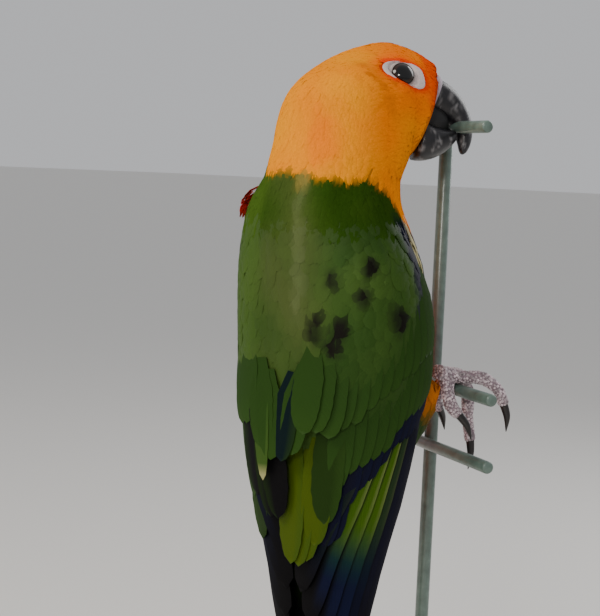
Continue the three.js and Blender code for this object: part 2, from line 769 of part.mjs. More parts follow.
const flesh = trunk(0).add(skull(0));
const torsoSolid = flesh.subtract(halfSpace(neckCut, neckUp));
const neckFoot = neckCut.clone().addScaledVector(neckUp, GAP);
const aboveTorso = flesh.subtract(halfSpace(neckFoot, neckUp.clone().negate()));
const neckSolid = largest(aboveTorso.subtract(halfSpace(headCut, headBack)));
let headSolid = aboveTorso.subtract(
  halfSpace(headCut.clone().addScaledVector(headBack, GAP), headBack.clone().negate()),
);
for (const side of [1, -1]) {
  headSolid = headSolid.add(lidRing(side)).add(cere(side, CERE.radius, 0));
}
for (const side of [1, -1]) {
  headSolid = headSolid.subtract(eyeball(side, GAP)).subtract(cere(side, CERE.nostril, CERE.radius));
}
headSolid = largest(headSolid.subtract(halfSpace(inHead(FACE.forward, 0, 0), FACE_OUT)));

const grownTrunk = trunk(CLEAR);
const grownSkull = skull(CLEAR);
const thighs = {};
for (const name of ["right", "left"]) {
  thighs[name] = largest(thigh(LEGS[name], 0).subtract(grownTrunk));
}
const wings = { right: wing(1, 11), left: wing(-1, 23) };
for (const name of ["right", "left"]) {
  wings[name] = largest(
    wings[name]
      .subtract(grownTrunk)
      .subtract(grownSkull)
      .subtract(tailLoft(TAIL_ROOM))
      .subtract(thigh(LEGS[name], CLEAR)),
  );
}
for (const name of ["right", "left"]) {
  const middle = new THREE.BoxGeometry(CLEAR, HUGE, HUGE).translate(0, 0, HUGE / 2);
  wings[name] = wings[name].subtract(fromGeometry(middle));
}
const grownWires = Object.values(CROSS_WIRES)
  .map((row) => crossWire(row, GAP))
  .reduce((sum, solid) => sum.add(solid));

const SATIN = { roughness: 0.6, metalness: 0 };
const WET = { roughness: 0.1, metalness: 0 };
const PAINTED_STEEL = { roughness: 0.45, metalness: 0.6 };
const group = new THREE.Group();
group.position.copy(BODY_AXIS);

function addNode(name, solid, color, look = SATIN) {
  const mesh = new THREE.Mesh(toGeometry(largest(solid)), new THREE.MeshStandardMaterial({ color, ...look }));
  mesh.name = name;
  group.add(mesh);
}

addNode("torso", torsoSolid, "#35601f");
addNode("neck", neckSolid, "#e8900c");
addNode("head", headSolid, "#f08a10");
addNode("beak_upper", upperBill().subtract(grownWires), "#17161a");
addNode("beak_lower", lowerBill().subtract(grownWires), "#1b1a1d");
addNode("tongue", tongue().subtract(grownWires), "#2a2527");
for (const [name, side] of [["right", 1], ["left", -1]]) {
  const leg = LEGS[name];
  const ankle = new THREE.IcosahedronGeometry(ANKLE_ROOM, 1).translate(leg.ankle.x, leg.ankle.y, leg.ankle.z);
  addNode("eye_" + name, eyeball(side, 0), "#150d0a", WET);
  addNode("wing_" + name, wings[name], "#2c6a1e");
  addNode("thigh_" + name, thighs[name].subtract(fromGeometry(ankle)), "#d8561a");
  addNode("foot_" + name, foot(name).subtract(grownWires).subtract(thigh(leg, CLEAR)), "#a89a98");
  for (let i = 0; i < TOES[name].length; i += 1) {
    addNode("claw_" + name + "_" + (i + 1), claw(name, i).subtract(grownWires), "#3a3532");
  }
}
addNode("tail", tail(), "#1c3a5a");
for (const [name, row] of Object.entries(CROSS_WIRES)) {
  addNode(name, crossWire(row, 0), "#5c7268", PAINTED_STEEL);
}
addNode("stand_rod", standRod(), "#5c7268", PAINTED_STEEL);
addNode("stand_base", standBase(), "#2b2a28");

export default group;
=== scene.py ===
# %% [markdown]
# # A jenday conure, feather by feather
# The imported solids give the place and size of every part. This notebook lays a skin over the flesh,
# grows feathers on it, and finishes the eyes, bill, feet, wires and stand.

import itertools
import math

import bmesh
import bpy
import numpy as np
from mathutils import Matrix, Vector
from mathutils.bvhtree import BVHTree


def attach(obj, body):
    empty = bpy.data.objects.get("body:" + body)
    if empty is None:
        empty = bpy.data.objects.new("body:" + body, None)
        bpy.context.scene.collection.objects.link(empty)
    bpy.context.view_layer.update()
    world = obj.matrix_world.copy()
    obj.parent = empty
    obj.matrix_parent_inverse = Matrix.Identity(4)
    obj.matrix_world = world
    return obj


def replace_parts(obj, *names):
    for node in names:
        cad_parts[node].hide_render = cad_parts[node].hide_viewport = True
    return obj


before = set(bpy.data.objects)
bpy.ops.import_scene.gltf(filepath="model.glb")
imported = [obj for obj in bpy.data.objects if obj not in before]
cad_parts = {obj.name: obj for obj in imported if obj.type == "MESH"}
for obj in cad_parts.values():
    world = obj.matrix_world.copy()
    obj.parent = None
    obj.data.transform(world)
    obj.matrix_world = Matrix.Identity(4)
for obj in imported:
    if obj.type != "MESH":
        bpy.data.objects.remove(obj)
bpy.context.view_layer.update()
MM = 0.001
print("nodes:", len(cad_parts))

# %% [markdown]
# ## Places and directions
# Everything below is worked out in millimetres in the model's own frame and turned to metres when a
# mesh is made. The head looks back over the bird's right shoulder, so it has a frame of its own:
# forward to the bill, left and up. The face is the plane that bill and cere grow from.

# %% Named places
BODY_AXIS = np.array([0.0, -16.0, 0.0])
HEAD_CENTRE = np.array([-1.6, 14.9, 297.0]) + BODY_AXIS
HEAD_TURN, HEAD_NOD, HEAD_TILT = [math.radians(degrees) for degrees in (-35, -2, -21)]
turn = (
    Matrix.Rotation(HEAD_TURN, 3, "Z")
    @ Matrix.Rotation(HEAD_NOD, 3, "X")
    @ Matrix.Rotation(HEAD_TILT, 3, "Y")
)
HEAD_FORWARD = np.array(turn @ Vector((0, 1, 0)))
HEAD_LEFT = np.array(turn @ Vector((-1, 0, 0)))
HEAD_UP = np.array(turn @ Vector((0, 0, 1)))
UP = np.array([0.0, 0.0, 1.0])
FACE_FORWARD = 18.5
FACE_LEAN = math.radians(17)
FACE_UP = HEAD_FORWARD * math.sin(FACE_LEAN) + HEAD_UP * math.cos(FACE_LEAN)
FACE_OUT = HEAD_FORWARD * math.cos(FACE_LEAN) - HEAD_UP * math.sin(FACE_LEAN)
EYE_RADIUS = 4.6
EYE = {"forward": 5.4, "side": 13.4, "up": 4.6}


def in_head(forward, left, up):
    """A point from the head's own forward, left and up distances."""
    return HEAD_CENTRE + HEAD_FORWARD * forward + HEAD_LEFT * left + HEAD_UP * up


def to_head(points):
    """Forward, left and up distances of points from the head's centre."""
    away = points - HEAD_CENTRE
    return away @ HEAD_FORWARD, away @ HEAD_LEFT, away @ HEAD_UP


print("right eye's middle:", in_head(EYE["forward"], -EYE["side"], EYE["up"]).round(1))

# %% [markdown]
# ## Curves and soft steps
# A bird has no straight lines. Shapes and markings are read off short tables of known places, with a
# smooth curve between the rows, or are eased in by a soft step. Blender's curve objects could do it
# too, but plain numbers can be asked for a whole coat at once.

# %% Numbers along tables
def along(table, x, column=1):
    """A smooth curve through a table's rows, read at x."""
    rows = np.asarray(table, float)
    keys, values = rows[:, 0], rows[:, column]
    x = np.clip(np.asarray(x, float), keys[0], keys[-1])
    i = np.clip(np.searchsorted(keys, x, side="right") - 1, 0, len(keys) - 2)
    low, high = np.maximum(np.arange(len(keys)) - 1, 0), np.minimum(np.arange(len(keys)) + 1, len(keys) - 1)
    slope = (values[high] - values[low]) / (keys[high] - keys[low])
    step = keys[i + 1] - keys[i]
    t = (x - keys[i]) / step
    rise = t * t * (3 - 2 * t)
    bend = slope[i] * step * t * (1 - t) ** 2 - slope[i + 1] * step * t * t * (1 - t)
    return values[i] * (1 - rise) + values[i + 1] * rise + bend


def smooth(low, high, x):
    """0 below low, 1 above high, and a soft step between."""
    t = np.clip((np.asarray(x, float) - low) / (high - low), 0, 1)
    return t * t * (3 - 2 * t)


def unit(vectors):
    return vectors / np.maximum(np.linalg.norm(vectors, axis=-1, keepdims=True), 1e-9)


print("a soft step at its quarter:", round(float(smooth(0, 4, 1)), 3))

# %% [markdown]
# ## Materials
# Every colour is a hex value that one function turns to the linear numbers that the renderer wants.
# One small function adds a node, sets it and links it, so each material below reads as a short list.

# %% Colour and node helpers
def linear(code):
    """A hex colour as linear red, green and blue."""
    parts = np.array([int(code[i : i + 2], 16) / 255 for i in (1, 3, 5)])
    return np.where(parts <= 0.04045, parts / 12.92, ((parts + 0.055) / 1.055) ** 2.4)


def node(tree, kind, settings=None, values=None, links=None):
    """Adds a node, sets its properties and sockets, and links its inputs."""
    made = tree.nodes.new(kind)
    for key, value in (settings or {}).items():
        setattr(made, key, value)
    for key, value in (values or {}).items():
        made.inputs[key].default_value = value
    for key, socket in (links or {}).items():
        tree.links.new(socket, made.inputs[key])
    return made


def new_material(name, **sockets):
    """A material with its surface shader's plain values set."""
    made = bpy.data.materials.new(name)
    made.use_nodes = True
    shader = made.node_tree.nodes["Principled BSDF"]
    for key, value in sockets.items():
        shader.inputs[key.replace("_", " ")].default_value = value
    return made, made.node_tree, shader


def rgba(code):
    return (*linear(code), 1.0)


# A smooth noise hardly goes below the first of these or above the second.
NOISE_LOW, NOISE_HIGH = 0.3, 0.7


def roughen(tree, shader, colour, noise, shades, strength, depth):
    """Varies a surface's colour between two shades, and its height in millimetres, by one noise."""
    shade = node(
        tree,
        "ShaderNodeMapRange",
        values={1: NOISE_LOW, 2: NOISE_HIGH, 3: shades[0], 4: shades[1]},
        links={0: noise},
    )
    parts = {0: colour, 3: shade.outputs[0]}
    varied = node(tree, "ShaderNodeVectorMath", {"operation": "SCALE"}, links=parts)
    relief = node(
        tree,
        "ShaderNodeBump",
        values={"Strength": strength, "Distance": depth * MM},
        links={"Height": noise},
    )
    tree.links.new(varied.outputs[0], shader.inputs["Base Color"])
    tree.links.new(relief.outputs[0], shader.inputs["Normal"])


print("middle grey in linear numbers:", linear("#808080").round(3))

# %% [markdown]
# ## Feather
# A feather is keratin, thin and matt, and hardly shines. Its barbs run slantwise from the shaft. An
# image could show them, but here each feather has a map of its own, across and along the vane, and a
# noise stretched over that map draws the barbs at any size. The colour comes as an attribute.

# %% Feather material
# Real barbs lie about a third of a millimetre apart. They are drawn coarser, so that they show.
BARB_RELIEF = 0.2


def feather_material(name, across, slant, lines, contrast, relief, roughness, gloss):
    """Barbs as fine lines: across and slant say how the lines run over the vane."""
    made, tree, shader = new_material(name, Roughness=roughness, Specular_IOR_Level=gloss)
    colour = node(tree, "ShaderNodeAttribute", {"attribute_name": "plumage"}).outputs["Color"]
    vane = node(tree, "ShaderNodeUVMap", {"uv_map": "vane"}).outputs["UV"]
    split = node(tree, "ShaderNodeSeparateXYZ", links={0: vane}).outputs
    middle = node(tree, "ShaderNodeMath", {"operation": "SUBTRACT"}, {1: 0.5}, {0: split[0]})
    away = node(tree, "ShaderNodeMath", {"operation": "ABSOLUTE"}, links={0: middle.outputs[0]})
    barb = node(
        tree,
        "ShaderNodeMath",
        {"operation": "MULTIPLY_ADD"},
        {1: -slant},
        {0: away.outputs[0], 2: split[1]},
    )
    wide = node(tree, "ShaderNodeMath", {"operation": "MULTIPLY"}, {1: across}, {0: split[0]})
    place = node(tree, "ShaderNodeCombineXYZ", links={0: barb.outputs[0], 1: wide.outputs[0]})
    noise = node(
        tree,
        "ShaderNodeTexNoise",
        {"noise_dimensions": "3D"},
        {"Scale": lines, "Detail": 2.0, "Roughness": 0.6},
        {"Vector": place.outputs[0]},
    ).outputs["Fac"]
    roughen(tree, shader, colour, noise, (1 - contrast, 1 + contrast), relief, BARB_RELIEF)
    return made


# A contour feather lies flat and gives a soft, faintly lined surface.
coat_material = feather_material(
    "contour feather", across=0.0, slant=0.5, lines=24.0, contrast=0.12, relief=0.2, roughness=0.6, gloss=0.1
)
# The head's small feathers have loose, hair-like tips with no shine at all.
down_material = feather_material(
    "fine head feather",
    across=0.25,
    slant=0.1,
    lines=9.0,
    contrast=0.08,
    relief=0.12,
    roughness=0.9,
    gloss=0.0,
)
# A flight feather's barbs are hooked together to a firm web with a faint gloss.
flight_material = feather_material(
    "flight feather", across=0.0, slant=0.5, lines=70.0, contrast=0.2, relief=0.25, roughness=0.55, gloss=0.08
)
print("feather materials:", coat_material.name, down_material.name, flight_material.name)

# %% [markdown]
# ## Down over skin
# Under the feathers the skin has down. It takes the same markings, painted a little darker as
# painted shade, so that a gap between two feathers reads as shade and not as bare skin.

# %% Skin material
DOWN_TUFT = 1.111
skin_material, skin_tree, skin_shader = new_material("down over skin", Roughness=0.95, Specular_IOR_Level=0.0)
skin_colour = node(skin_tree, "ShaderNodeAttribute", {"attribute_name": "plumage"}).outputs["Color"]
skin_place = node(skin_tree, "ShaderNodeTexCoord").outputs["Object"]
skin_noise = node(
    skin_tree,
    "ShaderNodeTexNoise",
    values={"Scale": 1 / (DOWN_TUFT * MM), "Detail": 3.0},
    links={"Vector": skin_place},
).outputs["Fac"]
# The down's noise varies its tone at random and also darkens it, to between 0.6 and 0.95 of its colour, as
# painted shade.
roughen(skin_tree, skin_shader, skin_colour, skin_noise, (0.6, 0.95), strength=0.6, depth=0.4)
print("skin material:", skin_material.name)

# %% [markdown]
# ## Making meshes
# Each piece is a list of points and faces. A colour for each point, a map and a normal for each
# corner go with it where it has them. Its object stays at the origin with its place in its mesh.

# %% A piece from points
def add_piece(name, points, faces, material, colours=None, maps=None, normals=None):
    """Makes a piece from points in millimetres. Normals are for each corner or for each point."""
    mesh = bpy.data.meshes.new(name)
    points = np.asarray(points, np.float32) * MM
    mesh.vertices.add(len(points))
    mesh.vertices.foreach_set("co", points.ravel())
    sizes = np.array([len(face) for face in faces])
    loops = np.concatenate([np.asarray(face) for face in faces])
    mesh.loops.add(len(loops))
    mesh.loops.foreach_set("vertex_index", loops.astype(np.int32))
    mesh.polygons.add(len(sizes))
    mesh.polygons.foreach_set("loop_start", np.concatenate([[0], np.cumsum(sizes)[:-1]]).astype(np.int32))
    mesh.update(calc_edges=True)
    for key, values in (maps or {}).items():
        layer = mesh.uv_layers.new(name=key)
        layer.data.foreach_set("uv", np.asarray(values, np.float32)[loops].ravel())
    if colours is not None:
        layer = mesh.color_attributes.new("plumage", "FLOAT_COLOR", "POINT")
        full = np.concatenate([colours, np.ones((len(colours), 1))], axis=1)
        layer.data.foreach_set("color", full.astype(np.float32).ravel())
    mesh.polygons.foreach_set("use_smooth", np.full(len(sizes), True))
    if normals is not None and len(normals) == len(loops):
        mesh.normals_split_custom_set(normals.astype(np.float32))
    elif normals is not None:
        mesh.normals_split_custom_set_from_vertices(normals.astype(np.float32))
    made = bpy.data.objects.new(name, mesh)
    bpy.context.scene.collection.objects.link(made)
    made.data.materials.append(material)
    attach(made, "root")
    return made


# %% Lofts and tubes
def loft(rings):
    """Points and faces of a closed body through rings, with a fan at each end."""
    sides = len(rings[0])
    points = [p for ring in rings for p in ring]
    points += [np.mean(rings[0], axis=0), np.mean(rings[-1], axis=0)]
    start, end, last = len(points) - 2, len(points) - 1, (len(rings) - 1) * sides
    faces = []
    for j in range(sides):
        n = (j + 1) % sides
        faces += [(k + j, k + n, k + sides + n, k + sides + j) for k in range(0, last, sides)]
        faces += [(start, n, j), (end, last + j, last + n)]
    return np.array(points), faces


def oval(centre, side, up, half_width, top, bottom, sides, power=1.0):
    """A ring round a centre. A power under 1 makes it boxier."""
    angle = np.arange(sides) / sides * 2 * np.pi
    c, s = np.cos(angle), np.sin(angle)
    c, s = np.sign(c) * abs(c) ** power, np.sign(s) * abs(s) ** power
    height = np.where(s > 0, top, bottom)
    return centre + np.outer(half_width * c, side) + np.outer(height * s, up)


def path_points(points, count):
    """Evenly shared points along a smooth curve through a few points."""
    points = np.asarray(points, float)
    keys = np.concatenate([[0], np.cumsum(np.linalg.norm(np.diff(points, axis=0), axis=1))])
    where = np.linspace(0, keys[-1], count)
    columns = [along(np.column_stack([keys, points[:, i]]), where) for i in range(3)]
    return np.column_stack(columns), where / keys[-1]


def tube(points, radii, sides, count):
    """A round tapered tube along points. Radii are spread evenly along it."""
    centres, share = path_points(points, count)
    radius = along(np.column_stack([np.linspace(0, 1, len(radii)), radii]), share)
    heading = unit(np.gradient(centres, axis=0))
    side = unit(np.cross(heading[0], UP if abs(heading[0][2]) < 0.9 else np.array([1.0, 0, 0])))
    rings = []
    for k in range(count):
        side = unit(side - heading[k] * (side @ heading[k]))
        up = np.cross(heading[k], side)
        rings.append(oval(centres[k], side, up, radius[k], radius[k], radius[k], sides))
    return loft(rings)


def joined(solids):
    """Points and faces of several solids as one list of each."""
    points, faces, offset = [], [], 0
    for own, own_faces in solids:
        points.append(own)
        faces += [tuple(i + offset for i in face) for face in own_faces]
        offset += len(own)
    return np.concatenate(points), faces


# %% Merging overlapping solids
def evaluated(source):
    """A plain mesh from an object with its modifiers applied."""
    bpy.context.view_layer.update()
    graph = bpy.context.evaluated_depsgraph_get()
    return bpy.data.meshes.new_from_object(source.evaluated_get(graph))


def merged(solids, voxel, rounds):
    """One closed mesh from overlapping solids, by a voxel remesh and some rounds of smoothing."""
    points, faces = joined(solids)
    rough = bpy.data.meshes.new("rough")
    rough.from_pydata((points * MM).tolist(), [], faces)
    work = bpy.data.objects.new("rough", rough)
    bpy.context.scene.collection.objects.link(work)
    remesh = work.modifiers.new("remesh", "REMESH")
    remesh.mode, remesh.voxel_size = "VOXEL", voxel * MM
    relax = work.modifiers.new("relax", "SMOOTH")
    relax.factor, relax.iterations = 0.5, rounds
    mesh = evaluated(work)
    bpy.data.objects.remove(work)
    return mesh


# %% [markdown]
# ## The folded wing's surface
# A folded wing lies on the body like a curved shell. Angle from the middle of the back, height and
# lift off that shell place every wing feather, as they do in the solids.

# %% Wing surface
# Half the body's width by height, and how far its middle has moved across and forward there.
ENVELOPE = [
    (104, 14.5, 0, 0), (120, 16.5, 0, 0), (134, 19, 0, 0), (155, 23.6, 0, 0), (170, 27.5, 0, 0),
    (186, 31.2, 0, 0), (202, 33.8, 0, 0), (218, 35, 0, 0), (234, 34.8, -0.6, -0.5),
    (247, 33.2, -1.6, -1.4), (258, 29.8, -3.2, -2.8), (266, 26.6, -4.2, -3.4), (275, 22.4, -3.6, -2),
]
ENVELOPE_DEPTH = 0.88
PAD_TOP, PAD_BOTTOM = 275, 184
PAD_LEAD = [(PAD_BOTTOM, 114), (205, 121), (230, 124), (250, 122), (262, 114), (PAD_TOP, 92)]
PAD_TRAIL = [(PAD_BOTTOM, 8), (205, 5), (225, 7), (240, 14), (255, 22), (PAD_TOP, 40)]
PAD_LIFT = [(PAD_BOTTOM, -5.6), (194, -3.2), (204, -1.7), (225, -1.2), (252, -0.5), (PAD_TOP, -0.6)]
PAD_EDGE_LIFT, PAD_INSIDE_LIFT, PAD_ROUNDING = -7.5, -11.0, 0.35


def on_wing(side, degrees, z, lift):
    """Point and outward normal on a folded wing, for side 1 (right) or -1 (left)."""
    degrees, z = np.broadcast_arrays(np.asarray(degrees, float), np.asarray(z, float))
    angle = np.radians(degrees)
    half = along(ENVELOPE, z)
    depth = half * ENVELOPE_DEPTH
    normal = unit(np.stack([np.sin(angle) / half, -np.cos(angle) / depth, np.zeros_like(angle)], axis=-1))
    point = np.stack([half * np.sin(angle), -depth * np.cos(angle), z], axis=-1)
    point = point + normal * np.asarray(lift)[..., None]
    flip = np.array([side, 1, 1])
    shift = np.stack([along(ENVELOPE, z, 2), along(ENVELOPE, z, 3), 0 * z], axis=-1)
    return point * flip + shift + BODY_AXIS, normal * flip


def wing_pad(side, levels=26, arc=30):
    """The thick upper part of the wing, as rings."""
    rings = []
    share = np.arange(arc + 1) / arc
    edge = np.sin(share * np.pi).clip(0) ** PAD_ROUNDING
    for z in np.linspace(PAD_BOTTOM, PAD_TOP, levels):
        low, high, rise = [float(along(t, z)) for t in (PAD_TRAIL, PAD_LEAD, PAD_LIFT)]
        degrees = low + (high - low) * share
        outer, _ = on_wing(side, degrees, z, PAD_EDGE_LIFT + (rise - PAD_EDGE_LIFT) * edge)
        inner, _ = on_wing(side, degrees[::-1], z, np.full(arc + 1, PAD_INSIDE_LIFT))
        rings.append(np.concatenate([outer, inner])[:: side])
    return loft(rings)


print("right wing at the shoulder:", on_wing(1, 60.0, 250.0, 0.0)[0].round(1))

# %% [markdown]
# ## Skin
# A bird's body is one skin, but the solids of torso, neck, head and thighs meet with thin gaps. They
# could be sculpted together by hand. Here copies of them, swollen by a hair, are merged with the
# wings' pads by a voxel remesh, which gives one closed skin from any pieces that overlap.

# %% Flesh from the frame
FLESH = ["torso", "neck", "head", "thigh_right", "thigh_left"]
SKIN_VOXEL, SKIN_ROUNDS = 1.1, 14
SWELL = 0.3
NAPE = np.array([-3.5, 5.5, 291.5]) + BODY_AXIS
NAPE_REACH = (25.2, 24.6, 16.0)
BALL_CUT, BALL_RINGS, BALL_SIDES = 0.2, 12, 24


def node_arrays(name):
    """A CAD node's points in millimetres, merged, and its faces."""
    work = bmesh.new()
    work.from_mesh(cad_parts[name].data)
    bmesh.ops.remove_doubles(work, verts=work.verts, dist=1e-6)
    work.normal_update()
    points = np.array([v.co for v in work.verts]) / MM
    normals = np.array([v.normal for v in work.verts])
    faces = [tuple(v.index for v in f.verts) for f in work.faces]
    work.free()
    return points + normals * SWELL, faces


def nape_ball():
    """A ball of feathers' loft, which fills the crease between head and nape."""
    rings = []
    for t in np.linspace(BALL_CUT, math.pi - BALL_CUT, BALL_RINGS):
        wide, deep = [reach * math.sin(t) for reach in NAPE_REACH[:2]]
        centre = NAPE - UP * NAPE_REACH[2] * math.cos(t)
        rings.append(oval(centre, HEAD_LEFT, HEAD_FORWARD, wide, deep, deep, BALL_SIDES))
    return loft(rings)


def read_vertices(mesh, what):
    values = np.empty(len(mesh.vertices) * 3, np.float32)
    mesh.vertices.foreach_get(what, values)
    return values.reshape(-1, 3).astype(float)


solids = [*(node_arrays(name) for name in FLESH), *(wing_pad(side) for side in (1, -1)), nape_ball()]
skin_mesh = merged(solids, SKIN_VOXEL, SKIN_ROUNDS)
skin_points, skin_normals = read_vertices(skin_mesh, "co") / MM, read_vertices(skin_mesh, "normal")
skin_faces = [list(polygon.vertices) for polygon in skin_mesh.polygons]
skin_edges = np.array([tuple(edge.vertices) for edge in skin_mesh.edges])
bpy.data.meshes.remove(skin_mesh)
print("skin points:", len(skin_points))

# %% [markdown]
# The nape is eased towards its neighbours until no fold is left between head and neck. The skin is
# then drawn in by the coat's depth, the forehead is given its rise of feathers, and the eye's skin is
# pressed in so that the bare patch lies clear.

# %% Draw the skin in
NAPE_EASE, EASE_STEP = 150, 0.6
BODY_COAT, HEAD_THINNER, FACE_THINNER = 1.2, 0.6, 0.3
FOREHEAD_RISE = 3.8
LID_DENT = 1.6


def coat_depth(points):
    """How far the skin lies under the feathers' surface: thin on the face, deep on the body."""
    on_head = smooth(268, 280, points[:, 2])
    face = smooth(2, 16, to_head(points)[0]) * on_head
    return BODY_COAT - HEAD_THINNER * on_head - FACE_THINNER * face


def eased(points, weight):
    """Points drawn again and again towards the mean of their neighbours, by a weight for each."""
    neighbours = np.bincount(skin_edges.ravel(), minlength=len(points))
    for _ in range(NAPE_EASE):
        total = np.zeros_like(points)
        for axis, (here, there) in itertools.product(range(3), ((0, 1), (1, 0))):
            beside = points[skin_edges[:, there], axis]
            total[:, axis] += np.bincount(skin_edges[:, here], beside, len(points))
        points = points + (total / neighbours[:, None] - points) * EASE_STEP * weight[:, None]
    return points


fold = smooth(274, 282, skin_points[:, 2]) * smooth(6, -4, to_head(skin_points)[0])
skin_points = eased(skin_points, fold)
skin_points -= skin_normals * coat_depth(skin_points)[:, None]
forward, left, up = to_head(skin_points)
rise = FOREHEAD_RISE * smooth(-24, 6, forward) * smooth(4, 12, up) * smooth(10, 3, abs(left))
skin_points += HEAD_UP * rise[:, None]
eye_gap = np.hypot(forward - EYE["forward"], up - EYE["up"])
dent = LID_DENT * np.sign(left) * smooth(5.6, 4.4, eye_gap) * (abs(left) > 6)
skin_points -= HEAD_LEFT * dent[:, None]
skin_search = BVHTree.FromPolygons([Vector(p) for p in skin_points], skin_faces)
print("forehead's rise:", round(float(rise.max()), 1), "mm")

# %% [markdown]
# ## Markings
# A jenday conure has a yellow head that reddens round the eye and bill, a green back, a flame-coloured
# belly and blue-black wing edges. A painted image could carry that, but a function of place gives the
# same colour to skin and feathers wherever they are asked for. Edges between colours are made ragged
# by a smooth noise of a few sine waves, as real ones run along feather tips.

# %% Colours of the plumage
GREEN, GREEN_LIGHT, GREEN_DEEP = linear("#2a4514"), linear("#415a20"), linear("#1c3109")
OLIVE, MOSS, COVERT, FROST = linear("#3e4e0a"), linear("#454f26"), linear("#233d10"), linear("#6f7850")
YELLOW, AMBER, ORANGE = linear("#e69200"), linear("#e07600"), linear("#e86000")
RED, FLAME, RUST = linear("#dc3a04"), linear("#e84c08"), linear("#a8500c")
BLUE_BLACK, PALE, SPOT, DUN = linear("#0e0f22"), linear("#e0d498"), linear("#0e0b06"), linear("#8e7a3c")


def ripple(points, size, seed=0.0):
    """A smooth wandering number between about -1 and 1, over lengths of about size."""
    p = points / size
    a = np.sin(p[:, 0] * 1.7 + 2.1 * np.sin(p[:, 1] * 1.3 + seed) + seed)
    b = np.sin(p[:, 1] * 2.3 + 1.7 * np.sin(p[:, 2] * 1.1 + seed * 1.7) + 0.7 + seed)
    c = np.sin(p[:, 2] * 1.9 + 1.9 * np.sin(p[:, 0] * 1.5 + seed * 0.6) + 1.9 + seed)
    return (a + b + c) / 3


def blend(base, colour, amount):
    amount = np.clip(amount, 0, 1)[:, None]
    return base * (1 - amount) + colour * amount


def fill(colour, like):
    """One colour for each of some values."""
    return np.repeat(colour[None], len(like), axis=0)


print("green in linear numbers:", GREEN.round(3), "yellow:", YELLOW.round(3))

# %% Places of the markings
THIGH_TUFT = np.array([24.5, 23, 211]) + BODY_AXIS
# The edge between yellow and green, round the neck: angle and height. It drops on the breast.
COLLAR = [
    (-180, 236), (-130, 262), (-105, 268), (-70, 274.5), (-52, 276.5), (-40, 273.2), (-20, 273.6),
    (10, 274.6), (30, 273.2), (68, 273), (89, 270.4), (101, 267), (112, 262), (135, 252), (180, 236),
]
# Dark blots on the right wing's coverts: angle, height, reach in millimetres.
BLOTS = [
    (38, 243, 2.8), (62, 248, 2.6), (55, 238.5, 2.6), (27, 230.5, 2.8),
    (26, 226, 2.6), (42, 226.5, 3.2), (37, 222.5, 2.6), (76, 232, 3.4),
]
# The bare white patch round the eye: angle from forward and distance from the eye's middle.
EYE_PATCH = [
    (-122, 4.6), (-85, 4.8), (-55, 5.6), (-40, 7.0), (-25, 7.8), (0, 7.3),
    (26, 7.2), (48, 6.0), (68, 5.0), (119, 5.3), (151, 6.4), (201, 7.0), (238, 4.6),
]
PATCH_START = -122
# On the wing's coverts one degree is this many millimetres.
DEGREE_ROUND = 0.58
# How many millimetres one unit of noise spans: broad and narrow waver, and the cheek's flecks.
BROAD_NOISE, NARROW_NOISE, FLECK = 9.0, 3.1, 1.9


def back_angle(points):
    """Degrees from the middle of the back towards the bird's right, -180 to 180."""
    away = points - BODY_AXIS
    x = away[:, 0] - along(ENVELOPE, points[:, 2], 2)
    y = away[:, 1] - along(ENVELOPE, points[:, 2], 3)
    return np.degrees(np.arctan2(x, -y))


def from_eye(points):
    """Distance beyond the edge of the nearer eye's bare patch."""
    forward, left, up = to_head(points)
    ahead, above = forward - EYE["forward"], up - EYE["up"]
    angle = (np.degrees(np.arctan2(above, ahead)) - PATCH_START) % 360 + PATCH_START
    inside_head = 60 * (abs(left) < 5)
    return np.hypot(ahead, above) - along(EYE_PATCH, angle) + inside_head


print("the middle of the back lies at", back_angle(BODY_AXIS[None] + UP * 200 - [[0, 30, 0]]), "degrees")

# %% [markdown]
# Each marking below is a colour blended in by soft steps. A step's first two numbers are where it
# starts and ends: degrees round the body, heights or distances in millimetres. Wander and fine are the
# broad and the narrow noise that rag its edge.

# %% Markings of the body
def body_colour(points, wander, fine):
    """The green back and wings, and the flame-coloured front."""
    z, angle = points[:, 2], back_angle(points)
    away = abs(angle)
    colour = blend(fill(GREEN, points), GREEN_LIGHT, 0.3 + 0.45 * wander + 0.2 * fine)
    # Moss down the middle, a deep green right shoulder, and a left side painted lighter as painted highlight.
    colour = blend(colour, MOSS, smooth(45, 15, away) * (0.5 + 0.4 * wander) * smooth(200, 225, z))
    colour = blend(colour, GREEN_DEEP, smooth(26, 46, angle + 6 * wander) * smooth(246, 262, z) * 0.65)
    # The left side, towards the key light, is painted lighter as painted highlight.
    colour = blend(colour, GREEN_LIGHT, smooth(-18, -36, angle) * 0.7)
    # Frosted edges where the two wings meet, and plain coverts low on the right wing.
    parting = abs(angle - 10 - 0.2 * (z - 229)) + 3 * fine
    colour = blend(colour, FROST, smooth(7, 1, parting) * smooth(226, 236, z) * 0.25)
    colour = blend(colour, COVERT, smooth(240, 215, z) * smooth(20, 40, angle) * 0.7)
    belly = blend(fill(FLAME, points), AMBER, smooth(228, 262, z + 5 * wander))
    colour = blend(colour, belly, smooth(132, 142, away + 4 * wander))
    # Blue-black leading edges, with a cream rim before the right one.
    lead = smooth(89, 95, angle + 2 * fine) * smooth(131, 127, angle)
    colour = blend(colour, BLUE_BLACK, lead * smooth(264, 258, z) * smooth(222, 231, z))
    left_lead = smooth(-112, -119, angle) * smooth(-134, -130, angle) * smooth(263, 256, z)
    colour = blend(colour, BLUE_BLACK, left_lead)
    rim = smooth(112, 115, angle) * smooth(123, 119, angle) * smooth(236, 242, z) * smooth(264, 259, z)
    colour = blend(colour, PALE, rim * 0.65)
    for blot_angle, blot_z, reach in BLOTS:
        gap = np.hypot((angle - blot_angle) * DEGREE_ROUND, z - blot_z) + 1.4 * fine
        colour = blend(colour, SPOT, smooth(reach * 1.35, reach * 0.6, gap))
    return colour


